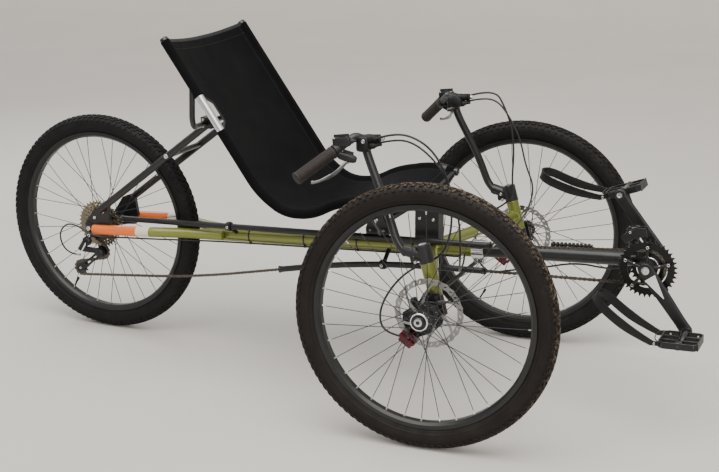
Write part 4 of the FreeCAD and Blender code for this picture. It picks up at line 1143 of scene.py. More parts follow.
def makeHeelLoop(side):
    z, base, body = loopSizes, pedalFrame(side), "pedal_" + side
    rear = -pedalSizes["length"] / 2
    hinge = Vector((rear - z["tab"] + 4, 0, 0))
    rise = Matrix.Translation(hinge) @ Matrix.Rotation(math.radians(z["rise"]), 4, "Y")
    half, reach = z["half"] - z["band"] / 2, z["length"] - z["half"]
    line = [(-reach * k / 10, -half) for k in range(11)]
    line += arc((-reach, 0), half, -math.pi / 2, -math.pi * 1.5, 18)[1:-1]
    line += [(-reach * k / 10, half) for k in range(10, -1, -1)]
    points, faces, n = [], [], len(line)
    for i, (x, y) in enumerate(line):
        ahead = (Vector(line[min(i + 1, n - 1)]) - Vector(line[max(i - 1, 0)])).normalized()
        far = min(1, -x / (reach + half))
        sag = -z["bulge"] * math.sin(math.pi * min(1, far * 1.05))
        h = z["height"] / 2 * (0.5 + 0.32 * min(1, far * 2.2))
        for across, up in z["section"]:
            off = across * z["band"] + (1.1 if abs(up) < 0.9 else 0.0)
            points.append((x + ahead.y * off, y - ahead.x * off, up * h + sag))
    for i in range(n - 1):
        for k in range(8):
            j = (k + 1) % 8
            faces.append((i * 8 + k, (i + 1) * 8 + k, (i + 1) * 8 + j, i * 8 + j))
    faces += [tuple(range(8)), tuple((n - 1) * 8 + k for k in range(7, -1, -1))]
    shapes, bolts = [moved((points, faces), base @ rise)], []
    outward = (base.to_3x3() @ left).normalized()
    edge = z["half"] - z["band"]
    for sign in (-1, 1):
        shapes.append(moved(cageBar((rear - z["tab"], sign * edge), (rear + 3, sign * edge), 11, 4), base))
        bolts.append(screw(base @ Vector((rear - 10, sign * (edge + 2), 0)), outward * sign, 3.2, 2))
    addPiece(f"heel_band_{side}", shapes, soft["plastic"], body, ["heel_loop_" + side])
    addPiece(f"heel_band_bolts_{side}", bolts, metal["screw"], body)
    # a thin wire across the rear of the cage
    wire = tubeShape(smoothLine([base @ Vector(p) for p in z["wire"]]), 0.0014, 8)
    addPiece(f"heel_wire_{side}", [wire], metal["spoke"], body)


makeCranks()
makeChainrings()
for side in sides:
    makePedal(side)
    makeHeelLoop(side)
print("crankset and pedals are done", flush=True)


changer = {"hanger": (6, -79.5, 319), "shoulder": (-8, -95.5, 299), "knee": (-28, -91.5, 272),
           "cageHalf": 6.6,
           "cageEnds": (13.5, 12.5), "waist": 7.6, "slots": ((0.26, 0.46), (0.54, 0.74)), "slotRadius": 3.4}
guide, tension = Vector(drive["guide"]), Vector(drive["tension"])


def cagePlate(y):
    # two round ends joined by a waisted strip, between the two pulleys
    z = changer
    along = (tension - guide).normalized()
    across = Vector((-along.y, along.x))
    length = (tension - guide).length

    def spot(x, up):
        return tuple((guide + along * x + across * up) * mm)

    def roundEnd(x, radius, start, steps):
        return [spot(*p) for p in arc((x, 0), radius, start, start + math.pi, steps)]

    waist = [(t, z["waist"] + 6 * abs(t - 0.5)) for t in (0.3, 0.5, 0.7)]
    outline = roundEnd(0, z["cageEnds"][0], math.pi / 2, 12)
    outline += [spot(length * t, -half) for t, half in waist]
    outline += roundEnd(length, z["cageEnds"][1], -math.pi / 2, 12)
    outline += [spot(length * t, half) for t, half in waist[::-1]]
    holes = [roundEnd(length * a, z["slotRadius"], math.pi / 2, 7)
             + roundEnd(length * b, z["slotRadius"], -math.pi / 2, 7) for a, b in z["slots"]]
    return moved(flatShape(outline, holes, 1.6 * mm), upright((0, 0), y))


def makeRearChanger():
    plates = [cagePlate(chainY + y) for y in (-changer["cageHalf"], changer["cageHalf"])]
    addPiece("rear_changer_cage", plates, metal["black"], "frame", ["rear_derailleur"])
    pulleys = []
    for centre in (guide, tension):
        holes = [circle(3.4 * mm, 16)] + [circle(2.6 * mm, 10, middle) for middle in circle(9.5 * mm, 5)]
        gear = flatShape(gearOutline(drive["pulley"], phaseAt(centre), tip=2.8), holes, 2.3 * mm, 0.0004)
        pulleys.append(moved(gear, upright(centre, chainY)))
    addPiece("rear_changer_pulleys", pulleys, soft["gloss"], "frame")

    hanger, shoulder, knee = (place(*changer[k]) for k in ("hanger", "shoulder", "knee"))
    guideOut = place(guide.x, chainY - 8, guide.y)
    near = shoulder + Vector((0.004, 0.009, 0))
    kneeStart = guideOut + Vector((-0.004, -0.004, 0.004))
    hangerBoss = [(0, 0), (8.6, 0), (9.4, 1.2), (9.4, 15), (8.4, 17.5), (0, 17.5)]
    shoulderBoss = [(0, 0), (12.5, 0), (14.5, 2), (14.5, 12), (11, 15.5), (0, 16)]
    guideBoss = [(0, 0), (11.5, 0), (13, 1.5), (13, 11), (10, 13.5), (0, 13.5)]
    arms = [turnedPart(hangerBoss, hanger, hanger - left, 28),
            boxAlong(hanger - left * 0.013, shoulder, 0.017, 0.013, 0.004),
            boxAlong(kneeStart, knee, 0.017, 0.012, 0.004),
            sweep([shoulder.lerp(knee, k / 6) for k in range(7)],
                  [ring((8.6 - 0.2 * abs(k - 3)) * mm, 12.4 * mm, 18, 2.8) for k in range(7)]),
            turnedPart(shoulderBoss, near, near - left * 0.039, 30),
            turnedPart(guideBoss, guideOut, guideOut - left, 28)]
    addPiece("rear_changer_body", arms, metal["black"], "frame")
    across = (knee - shoulder).cross(left).normalized() * 0.0072
    links = [boxAlong(shoulder + across * d - left * 0.001, knee + across * d, 0.006, 0.019) for d in (1, -1)]
    addPiece("rear_changer_links", links, metal["silver"], "frame")
    bolts = [screw(hanger - left * 0.0172, -left, 5.4, 2.6), screw(guideOut - left * 0.0103, -left, 5, 2.4)]
    for at in (shoulder, knee):
        for sign in (1, -1):
            for d in (1, -1):
                bolts.append(screw(at + across * d + left * 0.0094 * sign, left * sign, 2.6, 1.4))
    for centre in (guide, tension):
        a, b, c = (place(centre.x, chainY + y, centre.y) for y in (-7.4, -6, 8.2))
        bolts += [screw(a, -left, 3.6, 1.8), pin(b, c, 2.8, 0.3, 12)]
    addPiece("rear_changer_bolts", bolts, metal["screw"], "frame")


frontChanger = {"inner": 81.8, "outer": 107, "start": 92, "end": 134, "postX": 1648, "post": 74,
                "bridgeAngle": 118,
                "bridgeRadius": 101.8}


def changerPlate(y):
    z, outline = frontChanger, []
    outline += arc((0, 0), z["inner"] * mm, math.radians(z["start"]), math.radians(z["end"]), 12)
    for k in range(12, -1, -1):
        a = math.radians(z["start"] + 2 + (z["end"] - z["start"] - 3) * k / 12)
        outline.append(polar((z["outer"] - 5 * abs(k / 12 - 0.35)) * mm, a))
    return moved(flatShape(outline, [], 1.5 * mm, 0.0004), upright(drive["crank"], y))


def makeFrontChanger():
    z = frontChanger
    base = spineAt(z["postX"])
    top = base + Vector((0, 0, z["post"] * mm))
    x, up = polar(z["bridgeRadius"] * mm, math.radians(z["bridgeAngle"]))

    def bridge(y, dx=0.0, dz=0.0):
        return Vector((crankCentre.x + x + dx, y * mm, crankCentre.z + up + dz))

    def nearTop(*offset):
        return top + Vector(offset)

    shapes = [changerPlate(bigRingY - 2.9), changerPlate(chainY + 5.7),
              sleeve(14.2, [(18.4, 0), (18.4, 15)], nearTop(-0.0008, 0, -0.008), nearTop(-0.001, 0, 0.03),
                     36),
              boxAlong(nearTop(0, -0.014, 0), nearTop(0, -0.036, 0), 0.017, 0.02, 0.004),
              boxAlong(nearTop(-0.002, -0.03, 0.006), bridge(chainY + 7), 0.008, 0.016, 0.003),
              boxAlong(nearTop(0.006, -0.03, -0.006), bridge(chainY + 7, 0.009, -0.006), 0.007, 0.014, 0.003),
              pin(bridge(bigRingY - 2.8), bridge(chainY + 7), 3.4)]
    addPiece("front_changer", shapes, metal["black"], "frame", ["front_derailleur"])
    bolts = [screw(nearTop(0, -0.0358, 0), -left, 5.2, 3),
             screw(nearTop(0.018, -0.004, 0), (1, 0, 0), 4, 2.4),
             screw(bridge(bigRingY - 3.6), -left, 3.4, 1.4)]
    addPiece("front_changer_bolts", bolts, metal["screw"], "frame")
    cap = [(0, 0), (13.6, 0), (14.6, 1), (14.6, 3), (13, 4.4), (0, 5)]
    start, end = (base + Vector((dx * mm, 0, dz * mm)) for dx, dz in ((0, 84), (-0.2, 96)))
    addPiece("post_cap", [turnedPart(cap, start, end, 32)], soft["gloss"], "frame")


makeRearChanger()
makeFrontChanger()
print("gear changers are done", flush=True)


barPoints = [Vector(p) for p in ((1160, 345, 470), (1134, 345, 498), (1100, 336, 587), (1044, 312, 702),
                                 (1024, 313, 764), (908, 448, 664))]
kingpin = Vector(stance["kingpin"])
caster = Vector((-math.sin(math.radians(stance["caster"])), 0, math.cos(math.radians(stance["caster"]))))
gripAhead = (barPoints[-2] - barPoints[-1]).normalized()


def local(*p):
    return Vector(p) * mm


def gripPoint(d):
    return (barPoints[-1] + gripAhead * d) * mm


def cornerPiece(name, side, shapes, mat, replaces=()):
    # shapes stand in the left side's straight-ahead place and go to either side's place at rest
    where = corner[side] @ Matrix.Diagonal((1000, 1000, 1000, 1))
    addPiece(f"{name}_{side}", [moved(joined(shapes), where)], mat, "steering_" + side, replaces)


gripSizes = {"ribs": 17, "pitch": 5.9,
             "start": [(0, -5), (9, -5), (13.6, -4.4), (16.4, -1.5), (16.6, 2), (15.4, 4.4)],
             "end": [(15.2, 107), (16.6, 109), (16.6, 114), (15.4, 115.8), (11.1, 115.8)]}


def makeGrip(side):
    z = gripSizes
    profile = list(z["start"])
    for k in range(z["ribs"]):
        h = 6 + k * z["pitch"]
        profile += [(14.7, h), (15.9, h + 0.9), (15.9, h + 3.8), (14.7, h + 4.7)]
    shape = turnedPart(profile + z["end"], gripPoint(0), gripPoint(10), 40)
    cornerPiece("ribbed_grip", side, [shape], soft["grip"], ["grip_" + side])


leverSizes = {
    "clampAt": 118.3, "middle": 125, "blade": [(34, 4, -22), (26, 18, -34), (14, 46, -50), (-4, 70, -60),
                                               (-22, 88, -67), (-30, 93, -66)],
    "body": [(8.6, 8.2), (9.8, 9.4), (10.4, 10.2), (10.6, 10.6), (10.8, 10.8), (10.9, 10.9), (10.9, 10.8),
             (10.6, 10.4), (9.8, 9.4), (8.6, 8.0), (6.4, 5.8)],
    "adjuster": [(0, 0), (5.4, 0), (6, 1), (6, 7), (4.6, 9), (3.4, 9), (3.2, 15), (0, 15)],
    "lidScrews": [(-2, 9, 29.6), (31, -5, 33.4), (-2, -4, 29.6)],
}


def makeLever(side):
    z = leverSizes
    middle = gripPoint(z["middle"])

    def at(*offset):
        return middle + local(*offset)

    start, end = at(8, 4, -11), at(53, 2, -22)
    raised = local(1, 0, 10.2)
    shapes = [
        sleeve(11.1, [(15.6, 0), (16.4, 0.8), (16.4, 12.6), (15.6, 13.4)], gripPoint(z["clampAt"]),
               gripPoint(130), 36),
        sweep([start.lerp(end, k / 10) for k in range(11)],
              [ring(a * mm, b * mm, 20, 2.9) for a, b in z["body"]]),
        boxAlong(start.lerp(end, 0.2) + raised, start.lerp(end, 0.82) + raised, 0.015, 0.0035, 0.0012),
        # the reservoir that lies along the bar, its lid, the clamp's hinge block and the reach adjuster
        boxAlong(at(-8, 3, 19), at(38, 1, 24), 0.024, 0.017, 0.005),
        boxAlong(at(-5, 3, 28), at(35, 1, 33), 0.0205, 0.003, 0.001),
        boxAlong(at(2, 2, -16), at(2, 2, 20), 0.015, 0.014, 0.003, up=(1, 0, 0)),
        turnedPart(z["adjuster"], at(37, 1, 24), at(60, 0, 27), 20)]
    cornerPiece("lever_body", side, shapes, metal["black"], ["brake_lever_" + side])
    line = smoothLine([at(*p) for p in z["blade"]], 10)
    sections = []
    for i in range(len(line)):
        t = i / (len(line) - 1)
        if t < 0.9:
            wide = 3.6 + 2.0 * max(0, math.sin(math.pi * min(1, t * 1.4)))
        else:
            wide = 3.4 + 1.4 * math.sin(math.pi * (t - 0.9) * 10)
        sections.append(ring(2.7 * mm * (1 - 0.25 * t), wide * mm, 16, 2.6))
    cornerPiece("lever_blade", side, [sweep(line, sections, up=(0, 0, 1))], metal["lever"])
    bolts = [screw(at(34, 3, -10.5), (0.1, 0, 1), 3.4, 1.6), pin(at(34, 4, -8), at(33, 4, -33), 2.6)]
    bolts += [screw(at(*p), (-0.1, 0, 1), 2.6, 1.4) for p in z["lidScrews"]]
    cornerPiece("lever_bolts", side, bolts, metal["screw"])


controlSizes = {
    "middle": (1033, 312.5, 736),
    "drum": [(0, 0), (15, 0), (18, 3), (18.6, 8), (17.4, 15), (12, 17.6), (0, 18)],
    "nozzle": [(0, 0), (11, 0), (11, 8), (9.6, 9.4), (9.2, 21), (7, 24), (5.4, 30), (4.6, 36), (0, 36)],
    "second": [(0, 0), (8.8, 0), (9.4, 1.5), (9.2, 12), (6.8, 15), (4.4, 23), (4, 32), (0, 32)],
    "tip": [(0, 0), (5.2, 0), (5.6, 1), (5.6, 6), (4.4, 8), (0, 8)],
    "ribs": 5, "ribPitch": (4.4, 0.33),
}


def makeGearControl(side):
    # a drum on the bar, two cable nozzles ahead of it and a paddle
    z = controlSizes

    def at(*offset):
        return local(*z["middle"]) + local(*offset)

    shapes = [moved(roundBox((0.034, 0.038, 0.041), 0.008, 3), Matrix.Translation(at(0, 0, 0))),
              turnedPart(z["drum"], at(8, -2, 4), at(8, -30, 4), 36),
              turnedPart(z["nozzle"], at(14, 6, 14), at(52, 6, 17), 24),
              turnedPart(z["second"], at(16, 4, -4), at(50, 5, 1.5), 22)]
    for k in range(z["ribs"]):
        start = at(24 + z["ribPitch"][0] * k, 6, 14.8 + z["ribPitch"][1] * k)
        shapes.append(turnedPart([(8.4, 0), (10.6, 0.8), (10.6, 2.4), (8.4, 3.2)], start, at(60, 6, 17.6),
                                 24))
    cornerPiece("gear_control", side, shapes, soft["plastic"], ["shifter_" + side])
    bright = [screw(at(4, 18.4, 8), left, 5.2, 3.2), screw(at(-17, 2, 6), (-1, 0, 0.2), 3.4, 2),
              turnedPart(z["tip"], at(47, 6, 16.6), at(57, 6, 17.2), 20)]
    cornerPiece("control_bright", side, bright, metal["screw"])
    paddle = sweep([at(6, -16, -10), at(-2, -19, -18), at(-14, -20, -21)],
                   [ring(2.4 * mm, w * mm, 14, 2.6) for w in (6, 7.4, 5)], up=(1, 0, 0))
    cornerPiece("control_paddle", side, [paddle], soft["gloss"])


stemSizes = {
    "top": 89, "foot": 95, "ears": 60, "axle": (1231, 338), "tieDrop": 43 + 38.5, "tieBack": 62,
    "topCap": [(0, -0.5), (10.4, -0.5), (11, 0.4), (11, 2.4), (9, 3.6), (0, 3.6)],
    "footNut": [(0, 0), (9.6, 0), (9.6, 3.4), (8.4, 4.6), (0, 4.6)],
    "axleNut": [(0, 0), (13.6, 0), (13.6, 5), (12.2, 6.2), (6, 6.6), (5.2, 4.6), (0, 4.4)],
    "tieNut": [(0, 0), (8.2, 0), (8.2, 5), (7, 6), (0, 6)],
    "tieCap": [(0, 0), (7.4, 0), (7.4, 4.6), (5, 5.4), (0, 5.4)],
    "plateScrews": [(1222, 372), (1244, 372), (1180, 316), (1244, 306)],
}


def makeStem(side):
    # the steering stem's bolts, caps and ears, and the knuckle's nuts
    z = stemSizes
    axleX, axleZ = z["axle"]
    top, foot = (kingpin + caster * z["top"]) * mm, (kingpin - caster * z["foot"]) * mm
    bolts = [turnedPart(z["topCap"], top, top + caster, 30), turnedPart(z["footNut"], foot, foot - caster, 6)]
    ears = (kingpin + caster * z["ears"]) * mm + Vector((-0.024, 0, -0.006))
    for dz in (-9, 9):
        at = ears + caster * dz * mm
        bolts += [screw(at + left * 0.013, left, 4.4, 4), screw(at - left * 0.013, -left, 4.4, 3)]
    bolts.append(sleeve(5, [(9.6, 0), (10.2, 0.6), (10.2, 1.8), (8.8, 2.4)], local(axleX, 471.2, axleZ),
                        local(axleX, 480, axleZ), 32))
    cornerPiece("stem_bolts", side, bolts, metal["screw"])
    middle = ears + Vector((0.004, 0, 0))
    plate = boxAlong(middle - left * 0.0135, middle + left * 0.0135, 0.034, 0.016, 0.003, up=caster)
    cornerPiece("stem_ears", side, [plate], paint["black"])
    tie = (kingpin - caster * z["tieDrop"] - Vector((z["tieBack"], 0, 0))) * mm
    nuts = [turnedPart(z["tieNut"], tie + caster * 0.0192, tie + caster * 0.03, 6),
            turnedPart(z["tieCap"], tie - caster * 0.0136, tie - caster * 0.03, 6)]
    nuts += [screw(local(x, 368, up), left, 4.6, 2.6) for x, up in z["plateScrews"]]
    nuts.append(turnedPart(z["axleNut"], local(axleX, 465.2, axleZ), local(axleX, 470, axleZ), 6))
    cornerPiece("knuckle_bolts", side, nuts, metal["darkScrew"])


caliperSizes = {
    "middle": (1182, 383, 268), "along": (-0.82, 0, 0.57), "out": (-0.57, 0, -0.82),
    "halves": ((-8.2, 11), (8.4, 10.4)),
    "piston": [(0, 0), (12.4, 0), (13, 1), (13, 2.4), (11, 3.4), (0, 3.6)],
    "hoseNut": [(0, 0), (5.4, 0), (5.8, 0.8), (5.8, 5.6), (4.2, 7), (4.2, 12), (3.2, 13), (0, 13)],
    "dial": [(0, 0), (6.2, 0), (6.6, 1), (6.2, 4.6), (3, 5.4), (0, 5.4)],
}


def makeCaliper(side):
    z = caliperSizes
    centre, along, out = local(*z["middle"]), Vector(z["along"]), Vector(z["out"])
    middle, bridge = centre + out * 0.001, centre + out * 0.0155
    shapes = []
    for y, w in z["halves"]:
        at, face = middle + left * y * mm, math.copysign(w / 2 * mm - 0.0004, y)
        shapes.append(boxAlong(at - along * 0.0235, at + along * 0.0235, w * mm, 0.036, 0.0045))
        shapes.append(turnedPart(z["piston"], at + left * face, at + left * math.copysign(0.03, y), 30))
    shapes.append(boxAlong(bridge - along * 0.019, bridge + along * 0.019, 0.021, 0.011, 0.003))
    cornerPiece("caliper_body", side, shapes, metal["maroon"], ["brake_caliper_" + side])
    mount = boxAlong(centre + local(-14, -10.5, 24), centre + local(20, -10.5, 40), 0.012, 0.009)
    cornerPiece("caliper_mount", side, [mount], metal["black"])
    bolts = [screw(middle + along * d + left * 0.0135 * sign, left * sign, 3.6, height)
             for sign, height in ((1, 2.2), (-1, 1.6)) for d in (-0.0185, 0.0185)]
    bolts += [turnedPart(z["hoseNut"], local(1176, 376, 262), local(1150, 376, 266), 16),
              turnedPart(z["dial"], middle + left * 0.0155, middle + left * 0.03, 20)]
    cornerPiece("caliper_bolts", side, bolts, metal["screw"])


for side in sides:
    makeGrip(side)
    makeLever(side)
    makeGearControl(side)
    makeStem(side)
    makeCaliper(side)
print("controls and brakes are done", flush=True)


routes = {
    "hose": [(1066, 330, 752), (1104, 330, 766), (1156, 328, 768), (1212, 325, 738), (1250, 320, 676),
             (1264, 314, 600), (1262, 306, 528), (1243, 300, 470), (1204, 302, 441), (1160, 316, 423),
             (1122, 338, 384), (1096, 356, 332), (1098, 370, 288), (1126, 376, 266), (1170, 376, 262)],
    "upper": [(1066, 318, 738), (1104, 318, 750), (1158, 316, 751), (1218, 314, 708), (1262, 312, 640),
              (1282, 312, 566)],
    "lower": [(1286, 306, 506), (1278, 284, 448), (1258, 236, 404), (1234, 164, 382), (1214, 92, 371),
              (1200, 36, 374), (1186, 0, 388)],
    "rearTail": [(330, -56, 331), (215, -91, 331), (112, -95, 325), (62, -101, 320), (22, -114, 330),
                 (-24, -109, 350), (-72, -100, 350), (-105, -95, 316), (-100, -92, 272), (-66, -90, 248),
                 (-34, -92, 252)],
    "front": [(1198, 12, 388), (1216, 14, 366), (1238, 14, 340), (1262, 8, 331), (1302, 3, 343),
              (1346, 2, 353), (1424, 2, 370), (1474, 2, 385), (1524, 2, 390), (1562, 5, 385), (1600, 14, 383),
              (1632, 25, 402), (1646, 24, 440), (1648, 10, 470), (1647, -8, 486)],
    # how far each side's loops reach ahead: the hose's share and the gear cable's
    "share": {"left": (0.76, 0.86), "right": (1.0, 1.0)}, "hoseRadius": 2.75, "cableRadius": 2.5,
    "clips": (520, 700, 868, 1040),
}


def drawnIn(points, share, side):
    # a loop on a corner, with what is ahead of the bars drawn in
    out = []
    for x, y, z in points:
        near = share if z > 500 else (share + 1) / 2
        out.append(corner[side] @ Vector((1066 + (x - 1066) * near if x > 1200 else x, y, z)))
    return out


def addCable(name, points, radius, body, replaced, asMesh=False):
    curve = newCurve(name, points)
    curve.bevel_depth = radius * mm
    curve.bevel_resolution = 4
    curve.use_fill_caps = True
    curve.materials.append(soft["cable"])
    cable = bpy.data.objects.new(name, curve)
    if asMesh:
        mesh = bpy.data.meshes.new_from_object(cable)
        bpy.data.objects.remove(cable)
        cable = bpy.data.objects.new(name, mesh)
    bpy.context.scene.collection.objects.link(cable)
    if body:
        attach(cable, body)
    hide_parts(replaced)
    return cable


def ferrule(at, towards, radius=3.6, length=13):
    profile = [(0, 0), (radius - 0.5, 0), (radius, 0.5), (radius, length - 3), (radius - 0.7, length),
               (0, length)]
    return turnedPart(profile, at, towards, 16)


def makeCables():
    z, ferrules = routes, []
    for side, s in sides.items():
        hoseShare, cableShare = z["share"][side]
        addCable(f"hose_line_{side}", drawnIn(z["hose"], hoseShare, side), z["hoseRadius"],
                 "steering_" + side,
                 "brake_hose_" + side)
        low = [place(x, s * y, up) for x, y, up in z["lower"]]
        made = addCable(f"shift_line_{side}", drawnIn(z["upper"], cableShare, side) + low, z["cableRadius"],
                        None,
                        "shift_cable_" + side, asMesh=True)
        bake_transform(made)
        ferrules.append(ferrule(low[-1] + (low[-2] - low[-1]).normalized() * 0.02, low[-1], 3.4, 14))
    # the rear gear's cable lies under the spine, 60 degrees round to the right
    beside = Vector((0, -24.1 * 0.5, -24.1 * math.sqrt(0.75))) * mm
    rear = [spineAt(1176) + beside, spineAt(452) + beside] + [place(*p) for p in z["rearTail"]]
    addCable("rear_gear_line", rear, z["cableRadius"], "frame", "rear_gear_cable")
    front = [place(*p) for p in z["front"]]
    addCable("front_gear_line", front, z["cableRadius"], "frame", "front_gear_cable")
    ferrules += [ferrule(rear[-1], rear[-2]), ferrule(front[-1], front[-2]), ferrule(front[0], front[1])]
    addPiece("cable_ferrules", ferrules, metal["screw"], "frame")
    clips = []
    for x in z["clips"]:
        at, ahead = spineAt(x), spineAt(x + 1)
        clips.append(turnedPart([(21.6, 0), (22.9, 0.3), (22.9, 3.9), (21.6, 4.2)], at, ahead, 48,
                                closed=True))
        clips.append(turnedPart([(2.6, 0), (4.1, 0.3), (4.1, 5.7), (2.6, 6)], at + beside, ahead + beside, 20,
                                closed=True))
    addPiece("cable_clips", clips, soft["gloss"], "frame")


makeCables()
print("cables are done", flush=True)


seatSizes = {
    "profile": [(383, 950), (668, 549), (745, 498), (828, 502), (900, 541), (1005, 563), (1085, 552)],
    "railY": 212, "railRadius": 11, "sag": 26, "start": 7, "end": 10, "topDip": 4, "sleeveGap": 1.6,
    "notch": (0.722, 0.784), "notchDepth": 44, "thickness": 1.8, "flat": (0.55, 0.9), "seamIn": 12.5,
    "rows": 190, "half": 30, "sleeveTurns": 18, "stitch": 7.5,
}
railY = seatSizes["railY"] * mm
seatHalf = seatSizes["half"]


def alongLine(points):
    # a function of the distance walked along a line, which gives the place and the direction there
    reach = [0.0]
    for a, b in zip(points, points[1:]):
        reach.append(reach[-1] + (b - a).length)

    def at(s):
        s = min(max(s, 0), reach[-1] - 1e-6)
        i = min(int(np.searchsorted(reach, s, side="right")) - 1, len(points) - 2)
        t = (s - reach[i]) / max(reach[i + 1] - reach[i], 1e-9)
        near, far = points[max(i - 1, 0)], points[min(i + 2, len(points) - 1)]
        return points[i].lerp(points[i + 1], t), (far - near).normalized()
    return at, reach[-1]


railLine = roundedLine([place(x, 0, z) for x, z in seatSizes["profile"]], steps=14)
onRail, railLength = alongLine(railLine)


def smoothStep(t):
    t = min(max(t, 0), 1)
    return t * t * (3 - 2 * t)


def railFrame(s):
    # a place on the rails' middle line, which way it runs and which way is behind the seat
    p, along = onRail(s)
    back = along.cross(left)
    return p, along, back if back.dot((-0.5, 0, -1)) > 0 else -back


def seatDepth(y, s, k, height):
    # how far the cloth hangs behind the rails' middle line
    share = y / railY
    sag = seatSizes["sag"] * mm * (1 - share ** 2) ** 0.9
    crease = noise.noise(Vector((y * 9, s * 7, 1.7))) * 2.6
    crease += noise.noise(Vector((y * 26 + s * 18, s * 15, 4.1))) * 0.9
    nearNotch = max(0, 1 - abs(height - 0.7525) / 0.12) * share ** 2
    crease += nearNotch * 2.2 * math.sin(abs(share) * 9 + s * 46)
    return sag + crease * mm * (1 - abs(k) / seatHalf) ** 0.5


def makeCloth():
    # rows from the top of the back to the front of the seat: (point numbers, cut-out's share, frame)
    z = seatSizes
    wrap = (z["railRadius"] + z["sleeveGap"]) * mm
    start, length = z["start"] * mm, railLength - (z["start"] + z["end"]) * mm
    low, high = z["notch"]
    points, faces, rows = [], [], []
    for i in range(z["rows"] + 1):
        t = i / z["rows"]
        middle = railFrame(start + length * t)
        height = middle[0].z
        cut = smoothStep((height - low + 0.016) / 0.026) * smoothStep((high + 0.016 - height) / 0.026)
        cut = cut if t < 0.7 else 0.0
        seam = railY - z["seamIn"] * mm
        row = []
        for k in range(-seatHalf, seatHalf + 1):
            y = (seam if k > 0 else seam - z["notchDepth"] * mm * cut) * k / seatHalf
            s = start + length * t + z["topDip"] * mm * (1 - (y / railY) ** 2) * (1 - t) ** 8
            p, along, back = railFrame(s)
            row.append(len(points))
            points.append(p + left * y + back * (seatDepth(y, s, k, height) - wrap * 0.35))
        rows.append((row, cut, middle))
    for (a, *_), (b, *_) in zip(rows, rows[1:]):
        faces += [(a[k], a[k + 1], b[k + 1], b[k]) for k in range(2 * seatHalf)]
    # the sleeves, wherever there is no cut-out
    for side in (1, -1):
        previous = None
        for row, cut, (p, along, back) in rows:
            if cut > 0.04 and side < 0:
                previous = None
                continue
            rail = p + left * side * railY
            band = [row[2 * seatHalf if side > 0 else 0]]
            for k in range(1, z["sleeveTurns"] + 1):
                # from the rail's front inner side, over its front, round and in behind the seat
                across, forward = polar(wrap, math.radians(158 - 300 * k / z["sleeveTurns"]))
                band.append(len(points))
                points.append(rail + left * side * across - back * forward)
            band.append(len(points))
            points.append(rail - left * side * 0.026 + back * (wrap * 0.55 + 0.004))
            if previous:
                for k in range(len(band) - 1):
                    q = (previous[k], previous[k + 1], band[k + 1], band[k])
                    faces.append(q if side > 0 else q[::-1])
            previous = band
    mesh = bpy.data.meshes.new("seat_cloth")
    mesh.from_pydata([tuple(p) for p in points], [], faces)
    mesh.validate()
    uv = mesh.uv_layers.new(name="cut")
    for loop in mesh.loops:
        p = mesh.vertices[loop.vertex_index].co
        uv.data[loop.index].uv = (p.y, p.z - p.x * 0.6)
    mesh.polygons.foreach_set("use_smooth", [True] * len(mesh.polygons))
    mesh.materials.append(soft["fabric"])
    cloth = bpy.data.objects.new("seat_cloth", mesh)
    bpy.context.scene.collection.objects.link(cloth)
    thick = cloth.modifiers.new("thickness", "SOLIDIFY")
    thick.thickness, thick.offset = z["thickness"] * mm, 0
    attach(cloth, "frame")
    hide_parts("seat_sling")
    return cloth, rows, points


def strip(line, wide, up):
    section = ring(wide * mm, 1.6 * mm, 12, 3)
    return sweep(line, [section] * len(line), up=up)


def sewn(line, back):
    # stitches a little in front of a line
    walk, total = alongLine(line)
    pitch, stitches = seatSizes["stitch"] * mm, []
    for k in range(int(total / pitch)):
        p, along = walk((k + 0.5) * pitch)
        across = along.cross(back).normalized()
        stitches.append(boxAlong(p - along * 0.0021, p + along * 0.0021, 0.0011, 0.0011, 0.0004, up=across))
    return stitches


def makeHems(rows, points):
    hems, stitches = [], []
    for row, cut, (p, along, back) in (rows[0], rows[-1]):
        hems.append(strip([points[i] for i in row], 5.5, back))
    for row, cut, (p, along, back) in (rows[6], rows[-7]):
        stitches += sewn([points[i] - back * 0.0016 for i in row], back)
    for side in (1, -1):
        # a hem round the cut-out, and a seam beside each sleeve
        hemLine, seam = [], []
        for row, cut, (p, along, back) in rows:
            edge = 2 * seatHalf if side > 0 else 0
            if cut > 0.04 and side < 0:
                hemLine.append(points[row[edge]])
                if len(seam) > 3:
                    stitches += sewn(seam, back)
                seam = []
                continue
            if hemLine:
                hems.append(strip(hemLine, 3.4, back))
                hemLine = []
            seam.append(points[row[edge - side * 2]] - back * 0.0016)
        stitches += sewn(seam, back)
    return (addPiece("seat_hems", hems, soft["webbing"], "frame"),
            addPiece("seat_stitches", stitches, soft["thread"], "frame"))


railFittings = {
    "cap": [(0, -3.4), (7, -3.2), (10.6, -1.6), (12.0, 1), (12.0, 12), (11.1, 13)],
    "clamp": [(11.1, 0), (14.2, 0.4), (14.8, 1.4), (14.8, 22.6), (14.2, 23.6), (11.1, 24)], "clampX": 1044,
    "stayScrews": (692, 711),
}


